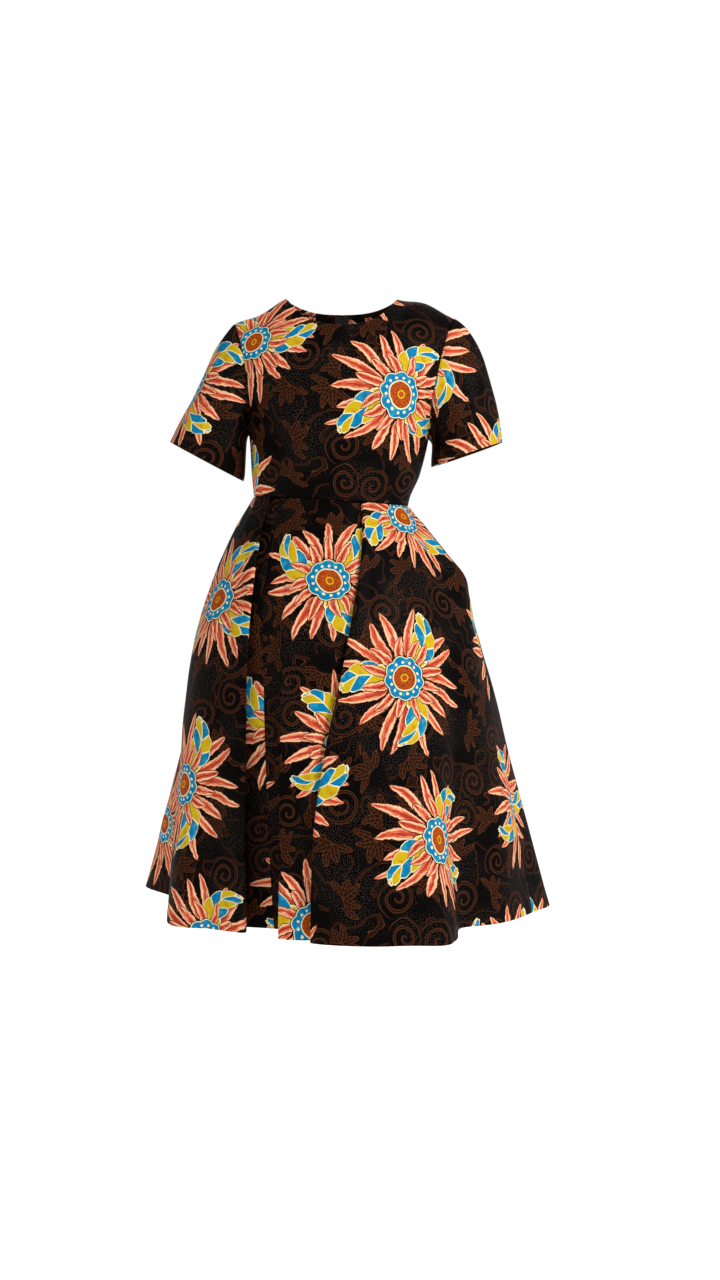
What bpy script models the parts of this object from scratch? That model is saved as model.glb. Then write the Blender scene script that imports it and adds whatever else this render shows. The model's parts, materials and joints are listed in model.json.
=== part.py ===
"""A short-sleeved dress with a fitted bodice and a pleated, flared skirt, as it is worn.

Metres, +Z up.  The wearer faces -Y, and their left side is +X.  The origin is in the
middle of the neck opening, at the height of the two points where the shoulder seams
reach the neckline.  Every cloth piece is a wall of one thickness: an outer grid of
points on the garment's form, the same grid moved inwards, and a rim between the two.
"""
import math

import bmesh
import bpy
from mathutils import Matrix, Vector

# --- Driving dimensions ------------------------------------------------------------
CLOTH = 0.0015            # thickness of each cloth wall
SEAM_GAP = 0.0003         # space between two pieces along their seam

NECK_HALF_WIDTH = 0.095
NECK_DROP_FRONT = 0.052
NECK_DROP_BACK = 0.020
NECK_ROUNDNESS = 2.8      # power of the curve from the middle of the neckline to its side
NECK_SLOPE = 0.39         # how steeply the form runs on up inside the neckline
SHOULDER_ROUNDING = 0.11  # height over which front and back close to the shoulder seam
FORM_STEP = 0.0005        # how far along the form its direction is measured
BESIDE_MIDDLE = 1e-6      # share that tells the two halves of the bodice back apart
EDGE_REPEATS = 6          # repeats that settle the height of the bodice's side edge
UNDERARM_HEIGHT = -0.235
WAIST_HEIGHT = -0.345
WAIST_TILT = 0.0085       # the wearer's right side of the waist is this much higher
HEM_HEIGHT = -1.052

# Shoulder seams: where each ends, how far it falls, and how far it bows up or down.
SHOULDER_COLUMNS = ("half_width", "drop", "bow")
SHOULDERS = {"left": (0.190, 0.032, 0.008), "right": (0.182, 0.042, -0.006)}

# The body form: a section for each height, with the middle of the section moved by shift.
FORM_COLUMNS = ("height", "half_width", "front", "back", "shift")
FORM = (
    (-0.360, 0.1320, 0.100, 0.086, -0.0190),
    (-0.345, 0.1330, 0.101, 0.087, -0.0180),
    (-0.300, 0.1440, 0.110, 0.093, -0.0105),
    (-0.258, 0.1505, 0.121, 0.099, -0.0060),
    (-0.235, 0.1540, 0.126, 0.102, -0.0045),
    (-0.200, 0.1660, 0.130, 0.105, -0.0030),
    (-0.170, 0.1780, 0.126, 0.107, -0.0020),
    (-0.120, 0.1930, 0.113, 0.106, -0.0005),
    (-0.070, 0.2050, 0.096, 0.091, 0.0000),
    (-0.030, 0.2120, 0.080, 0.072, 0.0000),
    (0.020, 0.2150, 0.066, 0.058, 0.0000),
)
BUST_FULLNESS = 0.10      # share by which the front is fuller at the two bust points
BUST_APART = 0.078
BUST_HEIGHT = -0.205
BUST_SPREAD = (0.050, 0.060)

# The armhole edge, as shares of the way up and out from the underarm to the shoulder.
ARMHOLE_COLUMNS = ("up", "out")
ARMHOLE = (
    (0.00, 0.000),
    (0.13, -0.060),
    (0.30, 0.010),
    (0.48, 0.190),
    (0.68, 0.420),
    (0.85, 0.700),
    (1.00, 1.000),
)

# Grid lines of the bodice, as shares of the way from the waist up to neck and shoulder.
SIDE_ROWS = (0.0, 0.12, 0.24)
ARMHOLE_ROWS = (0.358, 0.40, 0.45, 0.51, 0.58, 0.65, 0.72, 0.79, 0.86, 0.92, 0.97, 1.0)
BODICE_ROWS = SIDE_ROWS + ARMHOLE_ROWS
BODICE_HALF_COLUMNS = 10  # half of them end on the neckline, half on the shoulder seam
COLUMNS_SPREAD_FROM = 0.45  # share of the way up where the grid lines start to spread
INSIDE_ARMHOLE = 0.97     # share across of a point just inside the armhole's edge
ARMHOLE_STEP = 0.01       # how far along the armhole its direction is measured

# Sleeves: the hem's outer and inner end, in the plane of the shoulders.
SLEEVE_COLUMNS = ("side", "outer_x", "outer_z", "inner_x", "inner_z", "head_push", "end_lean")
SLEEVES = (
    ("left", 0.275, -0.244, 0.153, -0.286, 0.190, 0.10),
    ("right", -0.294, -0.244, -0.168, -0.311, 0.085, 0.50),
)
SLEEVE_HALF_DEPTH = 0.074
SLEEVE_ROWS = 6
SLEEVE_STEP = 0.02        # how far down the sleeve its direction is measured
SLEEVE_HEAD = (0.93, -0.36)     # out and up: the way the cloth leaves the armhole
SLEEVE_UNDERARM_PUSH = 0.035    # how strongly it does so under the arm
SLEEVE_END_PULL = 0.10          # how strongly it runs straight to the hem, outside
SLEEVE_END_SLACK = 0.5          # share of that pull left under the arm

# Skirt folds, in order round the dress from the wearer's right side seam across the
# front.  turn is measured from the middle of the front towards the wearer's left, in
# degrees; proud is how far the waist edge stands off the bodice's edge; reach is the
# distance from the middle of the hem; rise lifts the hem there; swing is the power by
# which the fold line turns from waist to hem, quick at first where it is high.
FOLD_COLUMNS = ("name", "waist_turn", "proud", "hem_turn", "reach", "rise", "swing")
FOLDS = (
    ("right_side_seam", -90.0, 0.0000, -94.0, 0.2860, 0.004, 2.0),
    ("right_front_crest", -76.0, 0.0000, -64.1, 0.3120, 0.000, 3.0),
    ("right_panel", -67.5, 0.0044, -52.9, 0.2735, 0.000, 4.5),
    ("first_pleat_edge", -57.0, 0.0046, -38.8, 0.2530, 0.000, 6.0),
    ("first_pleat_edge_back", -57.9, -0.0010, -39.7, 0.2430, 0.000, 6.0),
    ("first_pleat_under", -63.5, -0.0020, -48.0, 0.2390, 0.001, 6.0),
    ("first_pleat_under_back", -63.5, -0.0048, -48.0, 0.2300, 0.001, 6.0),
    ("recess_floor", -51.0, -0.0044, -33.0, 0.2060, 0.002, 5.0),
    ("recess_turn", -35.0, -0.0010, -23.4, 0.2160, 0.002, 3.2),
    ("recess_turn_back", -33.0, -0.0010, -22.2, 0.2260, 0.002, 3.2),
    ("second_pleat_edge", -27.0, 0.0000, -23.0, 0.2640, 0.000, 3.0),
    ("middle_panel", -2.0, 0.0000, -12.9, 0.2680, 0.000, 2.5),
    ("third_pleat_under", 35.5, -0.0050, 6.5, 0.2400, 0.001, 2.2),
    ("third_pleat_under_back", 35.5, -0.0024, 6.5, 0.2490, 0.001, 2.2),
    ("third_pleat_edge", 28.0, -0.0014, -10.3, 0.2740, 0.000, 2.2),
    ("third_pleat_edge_out", 28.0, 0.0036, -10.3, 0.2845, 0.000, 2.2),
    ("left_panel_start", 39.0, 0.0028, 7.3, 0.3136, 0.000, 2.0),
    ("left_panel", 48.0, 0.001, 19.4, 0.3240, 0.000, 2.0),
    ("flute_edge", 57.0, 0.000, 28.5, 0.3440, 0.000, 2.0),
    ("flute_wall", 62.0, 0.000, 34.5, 0.3200, 0.000, 2.0),
    ("flute_floor", 68.0, 0.000, 49.5, 0.2560, 0.001, 2.0),
    ("flute_rise", 77.0, 0.000, 64.0, 0.2900, 0.001, 2.0),
    ("left_side_seam", 90.0, 0.000, 86.0, 0.3290, 0.001, 2.0),
    ("left_back_crest", 98.0, 0.000, 98.6, 0.3680, 0.002, 2.0),
    ("left_back_valley", 108.0, 0.000, 112.0, 0.2980, 0.006, 2.0),
    ("second_back_crest", 119.0, 0.000, 126.0, 0.3460, 0.008, 2.0),
    ("second_back_valley", 132.0, 0.000, 140.0, 0.2740, 0.010, 2.0),
    ("third_back_crest", 145.0, 0.000, 153.0, 0.3300, 0.010, 2.0),
    ("third_back_valley", 160.0, 0.000, 166.0, 0.2840, 0.011, 2.0),
    ("centre_back_seam", 180.0, 0.000, 179.0, 0.3080, 0.012, 2.0),
    ("fourth_back_valley", 200.0, 0.000, 193.0, 0.2760, 0.012, 2.0),
    ("fourth_back_crest", 214.0, 0.000, 207.5, 0.3360, 0.013, 2.0),
    ("fifth_back_valley", 228.0, 0.000, 222.0, 0.2860, 0.014, 2.0),
    ("right_back_crest", 243.0, 0.000, 242.0, 0.4020, 0.015, 2.0),
    ("right_back_valley", 257.0, 0.000, 256.0, 0.3060, 0.010, 2.0),
    ("right_side_seam_again", 270.0, 0.000, 266.0, 0.286, 0.004, 2.0),
)
FOLD_STEPS = (0.0, 0.27, 0.5, 0.73)  # grid columns between fold lines
TURN_STEPS = (0.0, 0.5)   # the same where a fold turns back on itself
TURN_KNOTS = 0.12         # distance between knots below which a stretch is such a turn
HEM_HALF_WIDTH = 0.335    # the plain oval that the folds stand out from at the hem
HEM_FRONT = 0.285
HEM_BACK = 0.300
FOLD_DEEPENING = 1.8      # power by which the folds deepen from waist to hem
NORMAL_STEP = 0.004       # how far along and down the skirt its direction is measured
EDGE_STEP = 0.01          # distance between knots over which a panel's edge is drawn back
SKIRT_ROWS = (0.0, 0.03, 0.07, 0.12, 0.17, 0.22, 0.30, 0.40, 0.53, 0.68, 0.84, 1.0)

# How far the skirt has spread from its waist oval to its hem oval, going down.
SPREAD_COLUMNS = ("down", "spread")
SPREAD = (
    (0.00, 0.00),
    (0.10, 0.21),
    (0.20, 0.385),
    (0.33, 0.56),
    (0.45, 0.66),
    (0.70, 0.82),
    (1.00, 1.00),
)

# The pocket in the wearer's left side seam stands open: going down, how far its front
# edge is pushed out and how far each edge is turned away from the seam line.
POCKET_COLUMNS = ("down", "push", "front_turn", "back_turn")
POCKET = (
    (0.00, 0.000, 0.0, 0.0),
    (0.03, 0.003, 0.0, 0.0),
    (0.07, 0.009, 4.0, 5.0),
    (0.12, 0.017, 6.5, 9.0),
    (0.17, 0.026, 4.5, 6.5),
    (0.22, 0.017, 0.0, 0.0),
    (0.30, 0.004, 0.0, 0.0),
    (0.45, 0.000, 0.0, 0.0),
    (1.00, 0.000, 0.0, 0.0),
)
POCKET_WAIST_TURN = 90.0  # where the left side seam meets the waist, in degrees
POCKET_FADE = 16.0        # degrees of waist turn over which the opening's pull fades
POCKET_BACK_PUSH = (0.15, 0.22)  # rows between which the back edge comes out as well
POCKET_MOUTH = (0.03, 0.07, 0.12, 0.17, 0.22)  # the skirt's rows along the opening
POCKET_LAP = 0.0010       # how far the bag's mouth reaches past the opening's edges
POCKET_STANDOFF = 0.0010  # from the skirt's inner face to the bag's mouth
# The bag inside: sections that turn from upright at the mouth to level at the bottom.
BAG_COLUMNS = ("tilt", "x", "y", "z", "half_length", "half_width")
BAG_ROUND_BELOW = 1.5     # how much the wall turns down round the bottom edge
BAG = (
    (20.0, 0.150, -0.004, -0.450, 0.058, 0.021),
    (42.0, 0.138, -0.010, -0.482, 0.062, 0.018),
    (65.0, 0.130, -0.014, -0.520, 0.062, 0.016),
    (85.0, 0.127, -0.017, -0.562, 0.056, 0.013),
    (90.0, 0.126, -0.018, -0.596, 0.044, 0.009),
    (90.0, 0.125, -0.018, -0.614, 0.026, 0.005),
)

# Zip: a closed strip behind the centre-back seam, its slider and its pull tab.
ZIP_ROWS = (0.0, 0.07, 0.12, 0.17, 0.22)  # how far down the skirt, as shares
ZIP_HALF_WIDTH = 0.012
ZIP_STRIP = 0.0010        # thickness of the strip
ZIP_STANDOFF = 0.0021     # from the cloth's outer face to the strip's near face
ZIP_CURL = 0.0006         # how far the strip's edges follow the back round
SLIDER_UP = 0.955         # place of the slider on the back seam, waist 0 to neck 1
SLIDER_STANDOFF = 0.0006  # from the curved cloth to the slider's flat back
SLIDER_SIZE = (0.0064, 0.0014, 0.0110)
BRIDGE_SIZE = (0.0018, 0.0036, 0.0072)    # the arch that holds the tab's cross bar
BRIDGE_SUNK = 0.0002      # how far the arch reaches into the slider's face
BRIDGE_HOLE = (0.0022, 0.0048)            # height and length of the hole under the arch
BAR_STANDOFF = 0.0012     # from the slider's face to the axis of the tab's cross bar
TAB_SIZE = (0.0068, 0.0012, 0.0230)
TAB_WINDOW = (0.0028, 0.0042)             # width and length of the hole round the arch
TAB_OVER = 0.0006         # how far the cross bar reaches above the axis
TAB_EDGE = 0.0003         # bevel round the tab's edges


# --- Lookups and curves ------------------------------------------------------------
def column(table, names, name):
    """One named column of a table, as a list."""
    at = names.index(name)
    return [row[at] for row in table]


def smooth(keys, values, at):
    """A cubic curve through values at keys, with no overshoot past flat stretches."""
    if at <= keys[0]:
        return values[0]
    if at >= keys[-1]:
        return values[-1]
    i = max(k for k in range(len(keys) - 1) if keys[k] <= at)

    def slope(k):
        if k in (0, len(keys) - 1):
            other = 1 if k == 0 else k - 1
            return (values[other] - values[k]) / (keys[other] - keys[k])
        before = (values[k] - values[k - 1]) / (keys[k] - keys[k - 1])
        after = (values[k + 1] - values[k]) / (keys[k + 1] - keys[k])
        return 0.0 if before * after <= 0 else 2 * before * after / (before + after)

    width = keys[i + 1] - keys[i]
    t = (at - keys[i]) / width
    return ((1 + 2 * t) * (1 - t) ** 2 * values[i] + t * (1 - t) ** 2 * width * slope(i)
            + t * t * (3 - 2 * t) * values[i + 1] + t * t * (t - 1) * width * slope(i + 1))


def lookup(table, names, key, name):
    """A function that reads column name of a table at any value of column key."""
    keys = column(table, names, key)
    values = column(table, names, name)
    return lambda at: smooth(keys, values, at)


form_half_width = lookup(FORM, FORM_COLUMNS, "height", "half_width")
form_front = lookup(FORM, FORM_COLUMNS, "height", "front")
form_back = lookup(FORM, FORM_COLUMNS, "height", "back")
form_shift = lookup(FORM, FORM_COLUMNS, "height", "shift")
armhole_out = lookup(ARMHOLE, ARMHOLE_COLUMNS, "up", "out")
spread = lookup(SPREAD, SPREAD_COLUMNS, "down", "spread")
pocket_push = lookup(POCKET, POCKET_COLUMNS, "down", "push")
pocket_front_turn = lookup(POCKET, POCKET_COLUMNS, "down", "front_turn")
pocket_back_turn = lookup(POCKET, POCKET_COLUMNS, "down", "back_turn")


def waist_height(x):
    """Height of the waist seam at a distance x from the middle of the waist."""
    return WAIST_HEIGHT - WAIST_TILT * x / form_half_width(WAIST_HEIGHT)


def along_waist_seam(direction):
    """The same direction laid into the tilted plane of the waist seam."""
    fall = -WAIST_TILT / form_half_width(WAIST_HEIGHT)
    return Vector((direction.x, direction.y, fall * direction.x)).normalized()


def blend(a, b, share):
    return a + (b - a) * share


def ease(share):
    share = min(max(share, 0.0), 1.0)
    return share * share * (3 - 2 * share)


# --- The bodice's form -------------------------------------------------------------
def shoulder(x):
    """Half width, drop and bow of the shoulder on x's side."""
    return SHOULDERS["left" if x >= 0 else "right"]


def shoulder_line(x):
    """Height of the shoulder seam, and of its run inside the neckline, at x."""
    half_width, drop, bow = shoulder(x)
    share = (abs(x) - NECK_HALF_WIDTH) / (half_width - NECK_HALF_WIDTH)
    if share < 0:
        return NECK_SLOPE * (NECK_HALF_WIDTH ** 2 - x ** 2) / (2 * NECK_HALF_WIDTH)
    return -drop * share + bow * math.sin(math.pi * min(share, 1.0)) ** 2


def armhole_reach(z, side):
    """How far out the armhole's edge lies at height z."""
    half_width, drop, _ = shoulder(side)
    up = (z - UNDERARM_HEIGHT) / (-drop - UNDERARM_HEIGHT)
    return blend(form_half_width(UNDERARM_HEIGHT), half_width, armhole_out(up))


def side_reach(z, side):
    """How far out the bodice's side edge lies at height z: side seam, then armhole."""
    return armhole_reach(z, side) if z > UNDERARM_HEIGHT else form_half_width(z)


def side_edge_height(side, up):
    """Height of the bodice's side edge, found by repeating, because the waist is tilted."""
    top = -shoulder(side)[1]
    z = blend(WAIST_HEIGHT, top, up)
    for _ in range(EDGE_REPEATS):
        z = blend(waist_height(side * side_reach(z, side)) + SEAM_GAP / 2, top, up)
    return z


def depth_squared(x, z, front):
    """Square of the form's depth in front of, or behind, the shoulder line."""
    depth = form_front(z) if front else form_back(z)
    if front:
        off_x = (abs(x) - BUST_APART) / BUST_SPREAD[0]
        off_z = (z - BUST_HEIGHT) / BUST_SPREAD[1]
        depth *= 1 + BUST_FULLNESS * math.exp(-off_x ** 2 - off_z ** 2)
    below_seam = shoulder_line(x) - z
    closing = 1 - min(max(below_seam / SHOULDER_ROUNDING, 0.0), 1.0)
    return depth ** 2 * (1 - (x / form_half_width(z)) ** 2) * (1 - closing ** 2)


def form_normal(x, y, z, front):
    """The form's outward direction at a point on it."""
    step = FORM_STEP
    by_x = (depth_squared(x + step, z, front) - depth_squared(x - step, z, front)) / (2 * step)
    by_z = (depth_squared(x, z + step, front) - depth_squared(x, z - step, front)) / (2 * step)
    return Vector((-by_x, 2 * y, -by_z)).normalized()


def neck_or_shoulder_height(x, front):
    """Height of the bodice's top edge at a distance x from the middle."""
    if abs(x) >= NECK_HALF_WIDTH:
        return shoulder_line(x)
    drop = NECK_DROP_FRONT if front else NECK_DROP_BACK
    return -drop * (1 - (abs(x) / NECK_HALF_WIDTH) ** NECK_ROUNDNESS)


def bodice_point(across, up, front):
    """Point and outward direction; across runs from -1 to 1, up from waist to top edge."""
    side = math.copysign(1.0, across)
    share = abs(across)
    half_width = shoulder(side)[0]
    edge_x = side_reach(side_edge_height(side, up), side)
    round_share = math.sin(share * math.pi / 2)
    if share < 0.5:
        top_x = NECK_HALF_WIDTH * 2 * share
    else:
        top_x = blend(NECK_HALF_WIDTH, half_width, 2 * share - 1)
    spreading = ease((up - COLUMNS_SPREAD_FROM) / (1 - COLUMNS_SPREAD_FROM))
    x = side * edge_x * blend(round_share, top_x / half_width, spreading)
    low_z = waist_height(x) + SEAM_GAP / 2
    z = blend(low_z, neck_or_shoulder_height(side * top_x, front), up)
    y = math.sqrt(max(depth_squared(x, z, front), 0.0)) * (-1 if front else 1)
    normal = form_normal(x, y, z, front)
    y += SEAM_GAP / 2 * (-1 if front else 1)
    return Vector((x + form_shift(z), y, z)), normal


# --- The skirt's form --------------------------------------------------------------
def oval_radius(turn, half_width, front, back):
    """Distance from an oval's middle to its line, in a direction given in degrees."""
    s, c = math.sin(math.radians(turn)), math.cos(math.radians(turn))
    depth = front if c > 0 else back
    return 1 / math.sqrt((s / half_width) ** 2 + (c / depth) ** 2)


def hem_position(row):
    turn = math.radians(row[FOLD_COLUMNS.index("hem_turn")])
    reach = row[FOLD_COLUMNS.index("reach")]
    return Vector((reach * math.sin(turn), -reach * math.cos(turn)))


def fold_knots():
    """Where each fold line comes along the hem, spaced by the root of the distance."""
    knots = [0.0]
    for before, after in zip(FOLDS, FOLDS[1:]):
        knots.append(knots[-1] + math.sqrt((hem_position(after) - hem_position(before)).length))
    return knots


KNOTS = fold_knots()


def along_folds(values, at, closing_step=0.0, limited=False):
    """A curve through one value for each fold line, closed round the dress.

    Limited curves stand still where their values turn back, so that a folded-under
    stretch ends exactly at its fold line.
    """
    at = at % KNOTS[-1]
    i = max(k for k in range(len(KNOTS) - 1) if KNOTS[k] <= at)
    count = len(KNOTS) - 1

    def knot(k):
        return KNOTS[k % count] + KNOTS[-1] * (k // count)

    def value(k):
        return values[k % count] + closing_step * (k // count)

    def slope(k):
        early, late = knot(k) - knot(k - 1), knot(k + 1) - knot(k)
        before = (value(k) - value(k - 1)) / early
        after = (value(k + 1) - value(k)) / late
        if limited:
            return 0.0 if before * after <= 0 else 2 * before * after / (before + after)
        return (before * late + after * early) / (early + late)

    width = knot(i + 1) - knot(i)
    t = (at - knot(i)) / width
    return ((1 + 2 * t) * (1 - t) ** 2 * value(i) + t * (1 - t) ** 2 * width * slope(i)
            + t * t * (3 - 2 * t) * value(i + 1) + t * t * (t - 1) * width * slope(i + 1))


WAIST_TURNS = column(FOLDS, FOLD_COLUMNS, "waist_turn")
PROUD = column(FOLDS, FOLD_COLUMNS, "proud")
HEM_TURNS = column(FOLDS, FOLD_COLUMNS, "hem_turn")
REACHES = column(FOLDS, FOLD_COLUMNS, "reach")
RISES = column(FOLDS, FOLD_COLUMNS, "rise")
SWINGS = column(FOLDS, FOLD_COLUMNS, "swing")
POCKET_KNOT = KNOTS[column(FOLDS, FOLD_COLUMNS, "name").index("left_side_seam")]


def skirt_position(at, down, pocket_edge):
    """A point of the skirt; pocket_edge is -1 in front of the left seam, 1 behind it."""
    waist_turn = along_folds(WAIST_TURNS, at, 360.0, limited=True)
    hem_turn = along_folds(HEM_TURNS, at, 360.0, limited=True)
    turn = blend(waist_turn, hem_turn, 1 - (1 - down) ** along_folds(SWINGS, at))
    waist_radius = oval_radius(waist_turn, form_half_width(WAIST_HEIGHT),
                               form_front(WAIST_HEIGHT), form_back(WAIST_HEIGHT))
    hem_radius = oval_radius(hem_turn, HEM_HALF_WIDTH, HEM_FRONT, HEM_BACK)
    radius = blend(waist_radius, hem_radius, spread(down))
    radius += (along_folds(REACHES, at) - hem_radius) * down ** FOLD_DEEPENING
    radius += along_folds(PROUD, at) * (1 - down)
    if pocket_edge:
        fade = 1 - ease(abs(waist_turn - POCKET_WAIST_TURN) / POCKET_FADE)
        if pocket_edge < 0:
            turn -= pocket_front_turn(down) * fade
            radius += pocket_push(down) * fade
        else:
            turn += pocket_back_turn(down) * fade
            begin, full = POCKET_BACK_PUSH
            radius += pocket_push(down) * fade * ease((down - begin) / (full - begin))
    angle = math.radians(turn)
    x, y = radius * math.sin(angle), -radius * math.cos(angle)
    top = waist_height(waist_radius * math.sin(math.radians(waist_turn))) - SEAM_GAP / 2
    z = blend(top, HEM_HEIGHT + along_folds(RISES, at), down)
    return Vector((x + form_shift(WAIST_HEIGHT) * (1 - down), y, z))


def skirt_normal(at, down):
    """The skirt's outward direction, the same on both sides of every seam."""
    step = NORMAL_STEP
    by_at = skirt_position(at + step, down, 0) - skirt_position(at - step, down, 0)
    by_down = (skirt_position(at, min(down + step, 1.0), 0)
               - skirt_position(at, max(down - step, 0.0), 0))
    normal = by_down.cross(by_at).normalized()
    if down == 0.0:
        normal = along_waist_seam(normal)
    return normal


def panel_columns(first, last):
    """Grid columns between two named fold lines, and how far each edge is drawn back."""
    names = column(FOLDS, FOLD_COLUMNS, "name")
    low, high = names.index(first), names.index(last)
    found = []
    for k in range(low, high):
        steps = TURN_STEPS if KNOTS[k + 1] - KNOTS[k] < TURN_KNOTS else FOLD_STEPS
        found += [blend(KNOTS[k], KNOTS[k + 1], share) for share in steps]
    return found + [KNOTS[high]]


def skirt_grid(first, last, pocket_edge):
    """Outer points and outward directions of one skirt panel, row by row downwards."""
    across = panel_columns(first, last)
    grid = []
    for down in SKIRT_ROWS:
        line = []
        for k, at in enumerate(across):
            point = skirt_position(at, down, pocket_edge)
            if k in (0, len(across) - 1):
                step = EDGE_STEP if k == 0 else -EDGE_STEP
                inwards = skirt_position(at + step, down, pocket_edge) - point
                point = point + inwards.normalized() * SEAM_GAP / 2
            line.append((point, skirt_normal(at, down)))
        grid.append(line)
    return grid


# --- Meshes ------------------------------------------------------------------------
def cloth_material(name, colour, roughness, metallic=0.0):
    material = bpy.data.materials.new(name)
    material.use_nodes = True
    shader = material.node_tree.nodes["Principled BSDF"]
    shader.inputs["Base Color"].default_value = (*colour, 1.0)
    shader.inputs["Roughness"].default_value = roughness
    shader.inputs["Metallic"].default_value = metallic
    return material


def add_object(name, bm, material):
    mesh = bpy.data.meshes.new(name)
    bmesh.ops.recalc_face_normals(bm, faces=bm.faces)
    bm.to_mesh(mesh)
    bm.free()
    mesh.materials.append(material)
    mesh.shade_smooth()
    mesh.set_sharp_from_angle(angle=math.radians(50))
    made = bpy.data.objects.new(name, mesh)
    DRESS.objects.link(made)
    return made


def cloth_wall(name, grid, material, thickness=CLOTH, ring=False, capped=False):
    """A closed wall on a grid of (point, direction); a ring's last column meets its first,
    and a capped ring is closed over its last row."""
    bm = bmesh.new()
    outer = [[bm.verts.new(point) for point, _ in line] for line in grid]
    inner = [[bm.verts.new(point - direction * thickness) for point, direction in line]
             for line in grid]
    rows, columns = len(grid), len(grid[0])
    wraps = columns if ring else columns - 1
    for r in range(rows - 1):
        for c in range(wraps):
            d = (c + 1) % columns
            bm.faces.new((outer[r][c], outer[r][d], outer[r + 1][d], outer[r + 1][c]))
            bm.faces.new((inner[r][c], inner[r + 1][c], inner[r + 1][d], inner[r][d]))
    for c in range(wraps):
        d = (c + 1) % columns
        bm.faces.new((outer[0][c], inner[0][c], inner[0][d], outer[0][d]))
        if not capped:
            bm.faces.new((outer[-1][c], outer[-1][d], inner[-1][d], inner[-1][c]))
    if capped:
        bm.faces.new(outer[-1])
        bm.faces.new(list(reversed(inner[-1])))
    if not ring:
        for r in range(rows - 1):
            bm.faces.new((outer[r][0], outer[r + 1][0], inner[r + 1][0], inner[r][0]))
            bm.faces.new((outer[r][-1], inner[r][-1], inner[r + 1][-1], outer[r + 1][-1]))
    return add_object(name, bm, material)


# --- Bodice ------------------------------------------------------------------------
def build_bodice(print_cloth):
    half = BODICE_HALF_COLUMNS
    shares = [k / half for k in range(half + 1)]
    whole = [-share for share in reversed(shares[1:])] + shares
    front = [[bodice_point(share, up, True) for share in whole] for up in BODICE_ROWS]
    cloth_wall("bodice_front", front, print_cloth)
    for side, name in ((1, "bodice_back_left"), (-1, "bodice_back_right")):
        grid = []
        for up in BODICE_ROWS:
            line = [bodice_point(side * max(share, BESIDE_MIDDLE), up, False) for share in shares]
            middle, direction = line[0]
            line[0] = (middle + Vector((side * SEAM_GAP / 2, 0, 0)), direction)
            grid.append(line)
        cloth_wall(name, grid, print_cloth)


# --- Sleeves -----------------------------------------------------------------------
def armhole_edge(side, front):
    """One armhole edge from the shoulder down, drawn off the bodice, with its way out."""
    found = []
    for up in reversed(ARMHOLE_ROWS):
        point, normal = bodice_point(side, up, front)
        near = bodice_point(side * INSIDE_ARMHOLE, up, front)[0]
        above = bodice_point(side, min(up + ARMHOLE_STEP, 1.0), front)[0]
        below = bodice_point(side, max(up - ARMHOLE_STEP, ARMHOLE_ROWS[0]), front)[0]
        outwards = (above - below).cross(normal).normalized()
        if outwards.dot(point - near) < 0:
            outwards.negate()
        found.append((point + outwards * SEAM_GAP, outwards))
    return found


def armhole_loop(side):
    """The whole armhole: shoulder, front edge down, underarm, back edge up."""
    front, back = armhole_edge(side, True), armhole_edge(side, False)

    def between(a, b):
        return ((a[0] + b[0]) / 2, (a[1] + b[1]).normalized())

    return ([between(front[0], back[0])] + front[1:-1] + [between(front[-1], back[-1])]
            + list(reversed(back[1:-1])))


def build_sleeve(row, print_cloth):
    name, outer_x, outer_z, inner_x, inner_z, head_push, end_lean = row
    side = 1 if name == "left" else -1
    loop = armhole_loop(side)
    lengths = [(loop[(k + 1) % len(loop)][0] - loop[k][0]).length for k in range(len(loop))]
    outer, inner = Vector((outer_x, 0, outer_z)), Vector((inner_x, 0, inner_z))
    middle, radius = (outer + inner) / 2, (outer - inner) / 2
    head = Vector((side * SLEEVE_HEAD[0], 0, SLEEVE_HEAD[1]))
    end = Vector((side * end_lean, 0, -1)).normalized()

    def position(k, down):
        start = loop[k % len(loop)][0]
        angle = 2 * math.pi * sum(lengths[:k % len(loop)]) / sum(lengths)
        top_share = (1 + math.cos(angle)) / 2
        hem = (middle + radius * math.cos(angle)
               + Vector((0, -SLEEVE_HALF_DEPTH * math.sin(angle), 0)))
        leave = head * blend(SLEEVE_UNDERARM_PUSH, head_push, top_share)
        arrive = end * SLEEVE_END_PULL * blend(SLEEVE_END_SLACK, 1.0, top_share)
        t = down
        return (start * (1 + 2 * t) * (1 - t) ** 2 + leave * t * (1 - t) ** 2
                + hem * t * t * (3 - 2 * t) + arrive * t * t * (t - 1))

    grid = []
    for r in range(SLEEVE_ROWS + 1):
        down = r / SLEEVE_ROWS
        line = []
        for k in range(len(loop)):
            by_k = position(k + 1, down) - position(k - 1, down)
            by_down = (position(k, min(down + SLEEVE_STEP, 1.0))
                       - position(k, max(down - SLEEVE_STEP, 0.0)))
            normal = by_down.cross(by_k).normalized() * -side
            if r == 0:
                outwards = loop[k][1]
                normal = (normal - outwards * max(normal.dot(outwards), 0.0)).normalized()
            line.append((position(k, down), normal))
        grid.append(line)
    cloth_wall("sleeve_" + name, grid, print_cloth, ring=True)


# --- Skirt -------------------------------------------------------------------------
def build_skirt(print_cloth):
    """Five widths of cloth; the two seams in the front lie hidden inside the pleats."""
    panels = (("skirt_front_right", "right_side_seam", "recess_floor", 0),
              ("skirt_front_middle", "recess_floor", "third_pleat_under", 0),
              ("skirt_front_left", "third_pleat_under", "left_side_seam", -1),
              ("skirt_back_left", "left_side_seam", "centre_back_seam", 1),
              ("skirt_back_right", "centre_back_seam", "right_side_seam_again", 0))
    for name, first, last, pocket_edge in panels:
        cloth_wall(name, skirt_grid(first, last, pocket_edge), print_cloth)


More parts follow.
